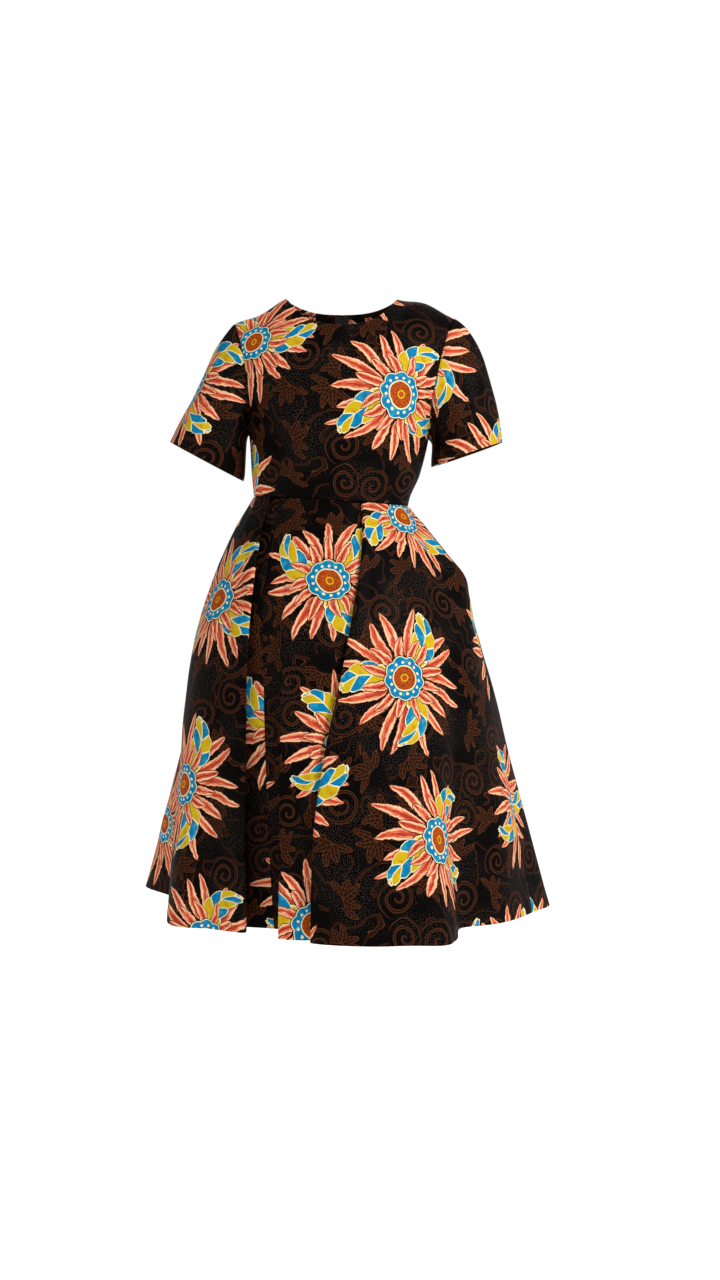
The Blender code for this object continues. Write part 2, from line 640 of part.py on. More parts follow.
# --- Pocket ------------------------------------------------------------------------
def pocket_mouth():
    """The opening's edge as a loop: top, front edge down, bottom, back edge up."""
    behind = CLOTH + POCKET_STANDOFF

    def edge(pocket_edge):
        corners = [skirt_position(POCKET_KNOT, down, pocket_edge)
                   - skirt_normal(POCKET_KNOT, down) * behind for down in POCKET_MOUTH]
        found = []
        for start, end in zip(corners, corners[1:]):
            found += [start, (start + end) / 2]
        return found + [corners[-1]]

    front, back = edge(-1), edge(1)
    middle = sum(front + back, Vector()) / (len(front) + len(back))
    top, bottom = (front[0] + back[0]) / 2, (front[-1] + back[-1]) / 2
    loop = [top] + front[1:-1] + [bottom] + list(reversed(back[1:-1]))
    return [point + (point - middle).normalized() * POCKET_LAP for point in loop], middle


def build_pocket(print_cloth):
    mouth, middle = pocket_mouth()
    count = len(mouth)
    rings = [mouth]
    for tilt, x, y, z, half_length, half_width in BAG:
        lean = math.radians(tilt)
        along = Vector((-math.sin(lean), 0, math.cos(lean))) * half_length
        ring = []
        for k in range(count):
            angle = 2 * math.pi * k / count
            ring.append(Vector((x, y, z)) + along * math.cos(angle)
                        + Vector((0, -half_width * math.sin(angle), 0)))
        rings.append(ring)
    grid = []
    for r, ring in enumerate(rings):
        centre = sum(ring, Vector()) / count
        line = []
        for k, point in enumerate(ring):
            round_it = ring[(k + 1) % count] - ring[k - 1]
            down_it = rings[min(r + 1, len(rings) - 1)][k] - rings[max(r - 1, 0)][k]
            direction = round_it.cross(down_it).normalized()
            if direction.dot(point - centre) < 0:
                direction.negate()
            if r == 0:
                direction = (point - middle).normalized()
            if r == len(rings) - 1:
                direction = (direction - Vector((0, 0, BAG_ROUND_BELOW))).normalized()
            line.append((point, direction))
        grid.append(line)
    cloth_wall("pocket_bag", grid, print_cloth, ring=True, capped=True)


# --- Zip ---------------------------------------------------------------------------
def centre_back(up):
    """Point and outward direction on the bodice's centre-back seam."""
    point, normal = bodice_point(BESIDE_MIDDLE, up, False)
    return Vector((form_shift(point.z), point.y, point.z)), Vector((0, normal.y, normal.z))


def build_zip_strip(strip_material):
    seam = [centre_back(up) for up in reversed(BODICE_ROWS)]
    knot = KNOTS[column(FOLDS, FOLD_COLUMNS, "name").index("centre_back_seam")]
    for down in ZIP_ROWS:
        normal = skirt_normal(knot, down)
        seam.append((skirt_position(knot, down, 0), Vector((0, normal.y, normal.z))))
    waist = len(BODICE_ROWS) - 1
    level = (seam[waist][1].normalized() + seam[waist + 1][1].normalized()).normalized()
    seam[waist:waist + 2] = [((seam[waist][0] + seam[waist + 1][0]) / 2, level)]
    grid = []
    for point, normal in seam:
        normal = normal.normalized()
        near = point - normal * ZIP_STANDOFF
        curl = normal * ZIP_CURL
        side = Vector((ZIP_HALF_WIDTH, 0, 0))
        grid.append([(near - side - curl, normal), (near, normal), (near + side - curl, normal)])
    cloth_wall("zip_tape", grid, strip_material, thickness=ZIP_STRIP)


def add_box(bm, size, centre):
    made = bmesh.ops.create_cube(bm, size=1.0)
    bmesh.ops.scale(bm, vec=size, verts=made["verts"])
    bmesh.ops.translate(bm, vec=centre, verts=made["verts"])


def box_object(name, size, centre, material, collection):
    bm = bmesh.new()
    add_box(bm, size, centre)
    mesh = bpy.data.meshes.new(name)
    bm.to_mesh(mesh)
    bm.free()
    mesh.materials.append(material)
    made = bpy.data.objects.new(name, mesh)
    collection.objects.link(made)
    return made


def boolean(target, other, operation):
    """Join other to target, or cut it out, and keep other as a hidden guide."""
    modifier = target.modifiers.new(operation.lower(), "BOOLEAN")
    modifier.operation = operation
    modifier.object = other
    other.hide_render = True
    other.display_type = "WIRE"


def build_slider_and_tab(metal):
    """In their own frame Z runs up the seam, Y points out of the cloth."""
    seat, normal = centre_back(SLIDER_UP)
    normal = normal.normalized()
    seat += normal * SLIDER_STANDOFF
    lean = math.atan2(normal.z, normal.y)
    place = Matrix.Translation(seat) @ Matrix.Rotation(lean, 4, "X")
    face = SLIDER_SIZE[1]
    slider = box_object("zip_slider", SLIDER_SIZE, (0, face / 2, 0), metal, DRESS)
    arch = box_object("zip_slider_arch", BRIDGE_SIZE,
                      (0, face + BRIDGE_SIZE[1] / 2 - BRIDGE_SUNK, 0), metal, GUIDES)
    hole_height, hole_length = BRIDGE_HOLE
    hole = box_object("zip_slider_hole", (SLIDER_SIZE[0], hole_height, hole_length),
                      (0, face + hole_height / 2, 0), metal, GUIDES)
    boolean(slider, arch, "UNION")
    boolean(slider, hole, "DIFFERENCE")
    axis = Vector((0, face + BAR_STANDOFF, 0))
    width, thickness, length = TAB_SIZE
    tab = box_object("zip_pull", TAB_SIZE, (0, 0, TAB_OVER - length / 2), metal, DRESS)
    window = box_object("zip_pull_window", (TAB_WINDOW[0], 4 * thickness, TAB_WINDOW[1]),
                        (0, 0, -TAB_OVER - TAB_WINDOW[1] / 2), metal, GUIDES)
    boolean(tab, window, "DIFFERENCE")
    corners = tab.modifiers.new("corners", "BEVEL")
    corners.width = TAB_EDGE
    corners.segments = 1
    for made in (slider, arch, hole):
        made.matrix_world = place
    for made in (tab, window):
        made.matrix_world = place @ Matrix.Translation(axis)


# --- Build -------------------------------------------------------------------------
for old in list(bpy.data.objects):
    bpy.data.objects.remove(old, do_unlink=True)
DRESS = bpy.data.collections.new("wax_print_dress")
GUIDES = bpy.data.collections.new("guides")
for collection in (DRESS, GUIDES):
    bpy.context.scene.collection.children.link(collection)

PRINT = cloth_material("printed_cotton", (0.012, 0.009, 0.008), 0.75)
STRIP = cloth_material("zip_strip", (0.010, 0.009, 0.009), 0.65)
METAL = cloth_material("painted_zinc", (0.015, 0.013, 0.012), 0.4, metallic=0.0)
build_bodice(PRINT)
for sleeve_row in SLEEVES:
    build_sleeve(sleeve_row, PRINT)
build_skirt(PRINT)
build_pocket(PRINT)
build_zip_strip(STRIP)
build_slider_and_tab(METAL)
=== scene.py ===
# %% [markdown]
# # A wax print dress, draped round its solid frame
# The dress is cut from one printed cotton: a bodice front, two bodice backs, two sleeves,
# a pleated skirt front joined from three widths, two skirt backs and a pocket bag, with a
# zip down the back. The solid model fixes where each piece is. Here each piece becomes
# thin cloth on the same form, with turned edges, soft creases, the print, the zip's coils
# and the stitches. All lengths are in metres, +X is the wearer's left, and the dress
# faces -Y.

# %% Tools and the frame
import bisect
import functools
import itertools
import json
import math

import bpy
import numpy as np
from mathutils import Matrix, Vector, noise

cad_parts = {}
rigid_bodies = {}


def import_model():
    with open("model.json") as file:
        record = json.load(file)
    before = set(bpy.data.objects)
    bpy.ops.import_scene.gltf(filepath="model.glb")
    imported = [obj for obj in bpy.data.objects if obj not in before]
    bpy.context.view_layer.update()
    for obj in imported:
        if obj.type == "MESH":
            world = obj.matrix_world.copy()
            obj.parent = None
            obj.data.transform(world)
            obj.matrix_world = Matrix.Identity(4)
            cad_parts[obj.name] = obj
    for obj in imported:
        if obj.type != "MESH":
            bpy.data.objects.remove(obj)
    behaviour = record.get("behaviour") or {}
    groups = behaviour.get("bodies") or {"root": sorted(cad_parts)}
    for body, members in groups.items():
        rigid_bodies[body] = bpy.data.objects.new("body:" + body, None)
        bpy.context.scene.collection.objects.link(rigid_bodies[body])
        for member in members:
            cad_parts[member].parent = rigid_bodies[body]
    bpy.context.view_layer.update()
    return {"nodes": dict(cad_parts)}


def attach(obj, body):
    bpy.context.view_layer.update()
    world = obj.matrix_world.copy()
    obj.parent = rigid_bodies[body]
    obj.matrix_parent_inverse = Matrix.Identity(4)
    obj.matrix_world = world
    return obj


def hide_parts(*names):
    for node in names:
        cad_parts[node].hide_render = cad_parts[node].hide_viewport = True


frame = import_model()
print("frame:", len(frame["nodes"]), "nodes")

# %% [markdown]
# ## Smooth curves through a few measured rows
# A pattern cutter measures a figure at a few places and draws fair curves through the
# marks. Here each table holds those rows, and a cubic curve runs through them, so that
# cloth can be laid on the form anywhere. A subdivision surface would be quicker to make,
# but it doesn't pass through its points, and this curve keeps every measurement.

# %% A curve through a table's rows
def column(table, names, name):
    at = names.index(name)
    return [row[at] for row in table]


def cubic(t, start, leave, end, arrive):
    """From start to end as t runs from 0 to 1, leaving and arriving at the given speeds."""
    return ((1 + 2 * t) * (1 - t) ** 2 * start + t * (1 - t) ** 2 * leave
            + t * t * (3 - 2 * t) * end + t * t * (t - 1) * arrive)


def gentle(before, after):
    """A row's slope from the slopes beside it: flat where the values turn back."""
    return 0.0 if before * after <= 0 else 2 * before * after / (before + after)


def curve(keys, values):
    """A function that follows the values at the keys, and stays level beyond them."""
    steep = [(v1 - v0) / (k1 - k0) for k0, k1, v0, v1 in zip(keys, keys[1:], values, values[1:])]
    slopes = [steep[0], *map(gentle, steep, steep[1:]), steep[-1]]

    def value(at):
        if at <= keys[0]:
            return values[0]
        if at >= keys[-1]:
            return values[-1]
        i = bisect.bisect_right(keys, at) - 1
        width = keys[i + 1] - keys[i]
        return cubic((at - keys[i]) / width, values[i], width * slopes[i],
                     values[i + 1], width * slopes[i + 1])

    return value


def lookups(table, names):
    """For each column after the first, a function from the first column to its value."""
    keys = column(table, names, names[0])
    return [functools.cache(curve(keys, column(table, names, name))) for name in names[1:]]


print("curve through 0, 1 and 4:", [curve([0, 1, 2], [0, 1, 4])(at) for at in (0.5, 1, 1.5)])


# %% Small sums used everywhere
def blend(a, b, share):
    return a + (b - a) * share


def ease(share):
    """0 to 1 with a soft start and a soft end."""
    share = np.clip(share, 0.0, 1.0)
    return share * share * (3 - 2 * share)


def distance_in(points):
    """Distance along the cloth, or along a path, from its first row."""
    steps = np.linalg.norm(np.diff(points, axis=0), axis=-1)
    return np.concatenate([np.zeros_like(steps[:1]), np.cumsum(steps, axis=0)])


def on_path(at, away, path):
    """Points of a path at the given distances, where away holds each of its own points'."""
    return np.stack([np.interp(at, away, path[:, k]) for k in range(3)], -1)


print("ease at a quarter:", float(ease(0.25)))

# %% [markdown]
# ## The form under the bodice
# A worn dress keeps the shape of the figure in it. The form is a stack of ovals with a
# depth of its own in front and behind, a bust, and a top that closes towards the shoulder
# seams. Sculpting would be freer, but the solids were made from these numbers, and the
# same numbers put the cloth where the solids are.

# %% Sections of the form
FORM_COLUMNS = ("height", "half_width", "front", "back", "shift")
FORM = (
    (-0.360, 0.1320, 0.100, 0.086, -0.0190),
    (-0.345, 0.1330, 0.101, 0.087, -0.0180),
    (-0.300, 0.1440, 0.110, 0.093, -0.0105),
    (-0.258, 0.1505, 0.121, 0.099, -0.0060),
    (-0.235, 0.1540, 0.126, 0.102, -0.0045),
    (-0.200, 0.1660, 0.130, 0.105, -0.0030),
    (-0.170, 0.1780, 0.126, 0.107, -0.0020),
    (-0.120, 0.1930, 0.113, 0.106, -0.0005),
    (-0.070, 0.2050, 0.096, 0.091, 0.0000),
    (-0.030, 0.2120, 0.080, 0.072, 0.0000),
    (0.020, 0.2150, 0.066, 0.058, 0.0000),
)
BUST_FULLNESS = 0.10           # share of depth that the bust adds
BUST_APART = 0.078
BUST_HEIGHT = -0.205
BUST_SPREAD = (0.050, 0.060)   # sideways and in height

form_half_width, form_front, form_back, form_shift = lookups(FORM, FORM_COLUMNS)
print(f"form: {len(FORM)} sections, {2 * form_half_width(BUST_HEIGHT):.3f} m wide at the bust")

# %% Neck, shoulders and waist
SEAM_GAP = 0.0001              # between two cloth pieces at a seam
NECK_HALF_WIDTH = 0.095
NECK_DROP_FRONT = 0.052
NECK_DROP_BACK = 0.020
NECK_ROUNDNESS = 2.8           # 2 makes the neckline an oval, more makes it squarer
NECK_SLOPE = 0.39              # how steeply the shoulder line meets the neck
WAIST_HEIGHT = -0.345
WAIST_TILT = 0.0085            # lower by this at the wearer's left, higher at the right
SHOULDERS = {"left": (0.190, 0.032, 0.008), "right": (0.182, 0.042, -0.006)}  # half width, drop, bow


def shoulder(x):
    return SHOULDERS["left" if x >= 0 else "right"]


def shoulder_line(x):
    half_width, drop, bow = shoulder(x)
    share = (abs(x) - NECK_HALF_WIDTH) / (half_width - NECK_HALF_WIDTH)
    if share < 0:
        return NECK_SLOPE * (NECK_HALF_WIDTH ** 2 - x ** 2) / (2 * NECK_HALF_WIDTH)
    return -drop * share + bow * math.sin(math.pi * min(share, 1.0)) ** 2


def top_edge_height(x, front):
    """Neckline between the shoulder seams, and the seams themselves beyond it."""
    if abs(x) >= NECK_HALF_WIDTH:
        return shoulder_line(x)
    drop = NECK_DROP_FRONT if front else NECK_DROP_BACK
    return -drop * (1 - (abs(x) / NECK_HALF_WIDTH) ** NECK_ROUNDNESS)


def waist_height(x):
    return WAIST_HEIGHT - WAIST_TILT * x / form_half_width(WAIST_HEIGHT)


print(f"waist seam: {waist_height(-0.1):.3f} m on the right, {waist_height(0.1):.3f} m on the left")

# %% Armholes and side edges
UNDERARM_HEIGHT = -0.235
UNDERARM_UP = 0.358            # the underarm's share of the way up the side edge
EDGE_REPEATS = 6
ARMHOLE = (  # share of the way up the armhole, and out from the underarm to the shoulder
    (0.00, 0.000),
    (0.13, -0.060),
    (0.30, 0.010),
    (0.48, 0.190),
    (0.68, 0.420),
    (0.85, 0.700),
    (1.00, 1.000),
)
armhole_out, = lookups(ARMHOLE, ("up", "out"))


def armhole_reach(z, side):
    half_width, drop, _ = shoulder(side)
    up = (z - UNDERARM_HEIGHT) / (-drop - UNDERARM_HEIGHT)
    return blend(form_half_width(UNDERARM_HEIGHT), half_width, armhole_out(up))


def side_reach(z, side):
    return armhole_reach(z, side) if z > UNDERARM_HEIGHT else form_half_width(z)


def side_edge_height(side, up):
    """Height of the side edge. The tilted waist depends on how far out the edge is, which
    depends on the height, so the sum is repeated until it settles."""
    top = -shoulder(side)[1]
    z = blend(WAIST_HEIGHT, top, up)
    for _ in range(EDGE_REPEATS):
        z = blend(waist_height(side * side_reach(z, side)) + SEAM_GAP / 2, top, up)
    return z


print(f"half way up the left side edge: {side_edge_height(1, 0.5):.4f} m")

# %% Depth and outward direction of the form
SHOULDER_ROUNDING = 0.11       # height below the shoulder line over which the form closes
SLOPE_STEP = 0.0005


def depth_squared(x, z, front):
    """Square of the form's depth in front of, or behind, the shoulder line."""
    depth = form_front(z) if front else form_back(z)
    if front:
        off_x = (abs(x) - BUST_APART) / BUST_SPREAD[0]
        off_z = (z - BUST_HEIGHT) / BUST_SPREAD[1]
        depth *= 1 + BUST_FULLNESS * math.exp(-off_x ** 2 - off_z ** 2)
    closing = 1 - min(max((shoulder_line(x) - z) / SHOULDER_ROUNDING, 0.0), 1.0)
    return depth ** 2 * (1 - (x / form_half_width(z)) ** 2) * (1 - closing ** 2)


def form_normal(x, y, z, front):
    step = SLOPE_STEP
    by_x = (depth_squared(x + step, z, front) - depth_squared(x - step, z, front)) / (2 * step)
    by_z = (depth_squared(x, z + step, front) - depth_squared(x, z - step, front)) / (2 * step)
    return Vector((-by_x, 2 * y, -by_z)).normalized()


print(f"depth at the bust: {math.sqrt(depth_squared(BUST_APART, BUST_HEIGHT, True)):.4f} m")

# %% A point on the bodice
COLUMNS_SPREAD_FROM = 0.45     # above this, columns move from the oval to the shoulder seam


def bodice_point(across, up, front):
    """Point and outward direction; across runs from -1 to 1, up from waist to top edge."""
    side = math.copysign(1.0, across)
    share = abs(across)
    half_width = shoulder(side)[0]
    edge_x = side_reach(side_edge_height(side, up), side)
    if share < 0.5:
        top_x = NECK_HALF_WIDTH * 2 * share
    else:
        top_x = blend(NECK_HALF_WIDTH, half_width, 2 * share - 1)
    spreading = ease((up - COLUMNS_SPREAD_FROM) / (1 - COLUMNS_SPREAD_FROM))
    x = side * edge_x * blend(math.sin(share * math.pi / 2), top_x / half_width, spreading)
    z = blend(waist_height(x) + SEAM_GAP / 2, top_edge_height(side * top_x, front), up)
    y = math.sqrt(max(depth_squared(x, z, front), 0.0)) * (-1 if front else 1)
    normal = form_normal(x, y, z, front)
    y += SEAM_GAP / 2 * (-1 if front else 1)
    return Vector((x + form_shift(z), y, z)), normal


print("middle of the front neckline:", [round(v, 3) for v in bodice_point(1e-6, 1, True)[0]])

# %% [markdown]
# ## Cloth from a flat grid
# A sewer starts from a flat piece, turns its edges under and drapes it. The same is done
# here: Blender's grid is the flat piece, its points are moved onto the form, and the
# turned edges are more rows and columns of the same grid, folded back inside. A cloth
# simulation is the usual way to drape. Here the worn form and the places of the pleats
# are already known, and a simulated sheet would slide off them.

# %% Edges of a grid
LEFT, RIGHT, TOP, BOTTOM = (1, False), (1, True), (0, False), (0, True)


def from_edge(values, edge):
    """The same grid turned so that its first row is the named edge."""
    axis, far_end = edge
    values = values.swapaxes(0, 1) if axis == 1 else values
    return values[::-1] if far_end else values


def to_edge(values, edge):
    """The turned grid turned back again."""
    axis, far_end = edge
    values = values[::-1] if far_end else values
    return values.swapaxes(0, 1) if axis == 1 else values


def outward(points):
    """Outward direction at each point; rows run down and columns to the right."""
    normals = np.cross(np.gradient(points, axis=0), np.gradient(points, axis=1))
    return normals / np.linalg.norm(normals, axis=-1, keepdims=True)


def line_inside(points, normals, back):
    """A line of points and directions that runs a distance inside the first row."""
    away = distance_in(points)
    columns = range(points.shape[1])
    return (np.array([on_path(back, away[:, c], points[:, c]) for c in columns]),
            np.array([on_path(back, away[:, c], normals[:, c]) for c in columns]))


print("edges:", {"left": LEFT, "right": RIGHT, "top": TOP, "bottom": BOTTOM})

# %% Seams and turned edges
SEAM_ALLOWANCE = 0.010
HEM_DEPTH = 0.020
NECK_DEPTH = 0.009
SEAM_ROLL = (0.0009, 0.0060)   # how far the cloth sinks towards a seam, over what width
UNDER_GAP = 0.0009             # from the cloth's face to the face of its turned edge
FOLD_EDGE = ((0.0012, 1.0), (0.0001, 0.5))   # distance back from the edge, share of the gap
FOLD_MIDDLE = 0.4              # where the middle line of a turned edge lies


def roll_into_seams(points, normals, edges):
    """Lets the cloth sink a little towards each sewn edge."""
    depth, width = SEAM_ROLL
    for edge in edges:
        near = np.clip(1 - distance_in(from_edge(points, edge)) / width, 0, 1)
        points = points - normals * (depth * to_edge(near, edge) ** 2)[..., None]
    return points


def turn_under(points, normals, edge, depth):
    """Adds lines of points that fold back inside the cloth for a depth."""
    points, normals = from_edge(points, edge), from_edge(normals, edge)
    folded, ways = [], []
    for back, gap in ((depth, 1.0), (FOLD_MIDDLE * depth, 1.0), *FOLD_EDGE):
        place, way = line_inside(points, normals, back)
        folded.append(place - way * UNDER_GAP * gap)
        ways.append(way)
    return (to_edge(np.concatenate([folded, points]), edge),
            to_edge(np.concatenate([ways, normals]), edge))


print(f"turned edges: seams {SEAM_ALLOWANCE}, hems {HEM_DEPTH}, neck {NECK_DEPTH} m")

# %% [markdown]
# ## Creases
# Cloth that is worn shows soft troughs and ridges where the body bends it. They could be
# sculpted with a brush. A short list given for each piece does the same and gives the same
# cloth each time: two ends and a sideways bow in metres as seen from the front, then the
# depth (below 0 for a trough) and the half width in millimetres.

# %% Creases and unevenness
UNEVEN = ((0.0022, 7.0), (0.0009, 19.0))   # size in metres and waves per metre
CREASE_POINTS = 25
CREASE_ENDS = 0.03             # share of its length that a crease has already risen at its ends
CREASE_FULLNESS = 0.7          # below 1, a crease keeps its depth nearer to its ends
FACING = 3.0                   # how fast creases return where the cloth turns outwards


def crease_depths(points, normals, creases):
    """How far each crease moves the cloth, where it faces away from the wearer."""
    moved = np.zeros(points.shape[:2])
    seen = points[..., [0, 2]]
    steps = np.linspace(0, 1, CREASE_POINTS)
    for x0, z0, x1, z1, bow, depth, width in creases:
        start, end = np.array([x0, z0]), np.array([x1, z1])
        across = np.array([z1 - z0, x0 - x1]) / np.linalg.norm(end - start)
        path = start + np.outer(steps, end - start) + np.outer(np.sin(np.pi * steps) * bow, across)
        off = np.linalg.norm(seen[:, :, None, :] - path, axis=-1)
        share = CREASE_ENDS + (1 - 2 * CREASE_ENDS) * steps[off.argmin(-1)]
        profile = np.exp(-(off.min(-1) * 1000 / width) ** 2)
        moved += depth / 1000 * np.sin(np.pi * share) ** CREASE_FULLNESS * profile
    away = points[..., :2] / np.linalg.norm(points[..., :2], axis=-1, keepdims=True)
    return moved * np.clip((normals[..., :2] * away).sum(-1) * FACING, 0, 1)


def uneven_depths(points, seed):
    """A fixed noise, so that no stretch of cloth is quite flat."""
    moved = np.zeros(points.shape[:2])
    for size, waves in UNEVEN:
        moved += size * np.array([[noise.noise(Vector(p) * waves + Vector((seed, 0, 0)))
                                   for p in row] for row in points])
    return moved


print(f"uneven by up to {1000 * sum(size for size, _ in UNEVEN):.1f} mm")

# %% [markdown]
# ## The flat cut decides where the print falls
# A print runs along the cloth, not along the room, so each piece needs its flat cut.
# Blender's Unwrap lays the draped grid flat with little stretch. The result is scaled to
# metres and turned so that the middle of the piece is upright, which gives the material a
# true scale and tells the size that the piece is cut to.

# %% A grid laid on its points, and its thickness
CLOTH_THICKNESS = 0.0004


def select_only(*pieces):
    bpy.ops.object.select_all(action="DESELECT")
    for piece in pieces:
        piece.select_set(True)
    bpy.context.view_layer.objects.active = pieces[0]


def lay_grid(name, points):
    """Blender's flat grid with its points moved to the given places."""
    rows, columns = points.shape[:2]
    bpy.ops.object.select_all(action="DESELECT")
    bpy.ops.mesh.primitive_grid_add(x_subdivisions=columns - 1, y_subdivisions=rows - 1, size=1)
    piece = bpy.context.object
    piece.name = piece.data.name = name
    piece.data.vertices.foreach_set("co", np.ascontiguousarray(points[::-1], np.float32).ravel())
    piece.data.update()
    return piece


def thicken(piece, thickness):
    """Gives a sheet its thickness, inwards from its outer face."""
    select_only(piece)
    wall = piece.modifiers.new("thickness", "SOLIDIFY")
    wall.thickness = thickness
    wall.offset = -1
    bpy.ops.object.modifier_apply(modifier=wall.name)


print(f"cloth: {1000 * CLOTH_THICKNESS:.1f} mm thick")


# %% The flat cut
PRINT_AT = {                   # where the foot of each piece's middle line lies on the printed cloth
    "bodice_front": (-0.05, 0.11), "bodice_back_left": (0.30, 0.12), "bodice_back_right": (0.55, 0.12),
    "sleeve_left": (0.12, 0.33), "sleeve_right": (0.05, 0.18), "pocket_bag": (0.30, 0.30),
    "skirt_front_right": (0.10, 0.30), "skirt_front_middle": (0.22, 0.06), "skirt_front_left": (0.02, 0.12),
    "skirt_back_left": (0.36, 0.02), "skirt_back_right": (0.16, 0.24),
}


def unwrapped(piece, rows, columns):
    """Flat place of each grid point, as Unwrap leaves it, and the point of each corner."""
    select_only(piece)
    bpy.ops.object.mode_set(mode="EDIT")
    bpy.ops.mesh.select_all(action="SELECT")
    bpy.ops.uv.unwrap(method="ANGLE_BASED", margin=0)
    bpy.ops.object.mode_set(mode="OBJECT")
    mesh = piece.data
    flat = np.zeros(len(mesh.loops) * 2)
    mesh.uv_layers.active.data.foreach_get("uv", flat)
    corner = np.zeros(len(mesh.loops), int)
    mesh.loops.foreach_get("vertex_index", corner)
    spot = np.zeros((len(mesh.vertices), 2))
    spot[corner] = flat.reshape(-1, 2)
    return spot.reshape(rows, columns, 2), corner


def cut_flat(name, piece, rows, columns):
    """Lays the piece flat, in metres, with its middle line upright on the print."""
    spot, corner = unwrapped(piece, rows, columns)
    rising, falling = spot[1:, 1:] - spot[:-1, :-1], spot[:-1, 1:] - spot[1:, :-1]
    doubled = (falling[..., 0] * rising[..., 1] - falling[..., 1] * rising[..., 0]).sum()
    real_area = sum(face.area for face in piece.data.polygons)
    spot *= math.sqrt(real_area / abs(doubled / 2))
    if doubled < 0:
        spot[..., 0] *= -1
    foot, head = spot[0, columns // 2], spot[-1, columns // 2]
    x, y = (head - foot) / np.linalg.norm(head - foot)
    spot = (spot - foot) @ np.array([[y, -x], [x, y]]).T
    layer = piece.data.uv_layers.active
    layer.name = "cut"
    layer.data.foreach_set("uv", (spot + PRINT_AT[name]).reshape(-1, 2)[corner].ravel())


# %% Sewing one piece
PIECES = {}
SEWN = {}                      # points and outward directions before the edges are turned
SEAM_STILL = 0.014             # creases fade out over this distance from a seam
NEAR_SEAM = (0.18, 0.50)       # extra lines of points near an edge, as shares of one step


def sew_piece(name, points, turned, creases, seed):
    """One cut piece: uneven, creased cloth that sinks at its seams, its edges turned."""
    normals = outward(points)
    seams = [edge for edge, depth in turned if depth <= SEAM_ALLOWANCE]
    moved = uneven_depths(points, seed) + crease_depths(points, normals, creases)
    for edge in seams:
        moved *= to_edge(ease(distance_in(from_edge(points, edge)) / SEAM_STILL), edge)
    points = roll_into_seams(points + normals * moved[..., None], normals, seams)
    SEWN[name] = (points, outward(points))
    for edge, depth in turned:
        points, normals = turn_under(points, normals, edge, depth)
    piece = lay_grid(name + "_cloth", points)
    cut_flat(name, piece, *points.shape[:2])
    thicken(piece, CLOTH_THICKNESS)
    bpy.ops.object.shade_smooth()
    PIECES[name] = piece


def finer_ends(count):
    """Shares from 0 to 1 in even steps, with two more near each end for the seams."""
    even = np.linspace(0, 1, count)
    near = np.array(NEAR_SEAM) * even[1]
    return np.concatenate([even[:1], near, even[1:-1], 1 - near[::-1], even[-1:]])


def draw_back(points):
    """Takes half of the seam gap off both side edges."""
    for edge, beside in ((0, 1), (-1, -2)):
        inwards = points[:, beside] - points[:, edge]
        inwards /= np.linalg.norm(inwards, axis=-1, keepdims=True)
        points[:, edge] += inwards * SEAM_GAP / 2
    return points


print("shares with finer ends:", finer_ends(4).round(2))

# %% [markdown]
# ## The bodice
# On the real dress the front is cut in one piece and the back in two, because the zip
# needs an opening. The grid's rows follow the waist at the bottom and end on the neckline
# and the shoulder seams at the top, so one grid makes each piece with no cutting after.

# %% Creases of the bodice
FRONT_CREASES = (
    (0.104, -0.190, 0.131, -0.292, 0.006, -4.6, 7),
    (0.124, -0.215, 0.139, -0.262, 0.003, 2.4, 6),
    (-0.118, -0.212, -0.130, -0.300, -0.005, -3.5, 7),
    (0.040, -0.338, 0.122, -0.296, 0.004, -2.6, 5),
    (-0.056, -0.335, -0.134, -0.292, -0.004, -2.3, 5),
    (-0.030, -0.258, 0.052, -0.246, -0.005, -1.8, 8),
    (-0.098, -0.080, -0.150, -0.165, 0.006, -2.4, 8),
    (0.112, -0.070, 0.150, -0.172, -0.007, -2.7, 9),
    (0.090, -0.100, 0.108, -0.180, -0.004, 1.6, 9),
    (-0.036, -0.306, 0.048, -0.320, 0.003, -1.9, 4.5),
    (0.012, -0.286, 0.092, -0.276, 0.002, -1.5, 5),
    (-0.012, -0.062, 0.016, -0.128, 0.006, -1.2, 9),
    (-0.088, -0.262, -0.142, -0.244, 0.003, -2.2, 5),
)
BACK_CREASES = (
    (0.030, -0.332, 0.118, -0.290, 0.004, -3.0, 6),
    (-0.026, -0.330, -0.124, -0.284, -0.005, -2.7, 6),
    (0.018, -0.300, 0.104, -0.262, 0.006, -2.2, 7),
    (-0.020, -0.292, -0.112, -0.256, 0.004, -2.4, 6),
    (0.110, -0.090, 0.146, -0.176, -0.006, -2.8, 9),
    (-0.104, -0.094, -0.144, -0.180, 0.006, -2.6, 8),
    (0.034, -0.130, 0.052, -0.226, 0.006, -1.5, 10),
    (-0.040, -0.120, -0.046, -0.210, -0.005, -1.6, 9),
)
print("creases of the bodice:", len(FRONT_CREASES), "in front,", len(BACK_CREASES), "behind")

# %% Bodice pieces
ROWS_ABOVE, ROWS_BELOW = 44, 18           # lines of points above and below the underarm
FRONT_COLUMNS, BACK_COLUMNS = 101, 51
ABOVE = 1 - (1 - UNDERARM_UP) * finer_ends(ROWS_ABOVE)
BELOW = UNDERARM_UP * (1 - finer_ends(ROWS_BELOW))
BODICE_ROWS = np.concatenate([ABOVE, BELOW[1:]])
BODICE_EDGES = [(TOP, NECK_DEPTH), (BOTTOM, SEAM_ALLOWANCE), (LEFT, SEAM_ALLOWANCE), (RIGHT, SEAM_ALLOWANCE)]


def bodice_grid(start, end, count, front):
    across = blend(start, end, finer_ends(count))
    across[across == 0] = 1e-6 * math.copysign(1.0, start + end)
    return np.array([[bodice_point(a, up, front)[0] for a in across] for up in BODICE_ROWS])


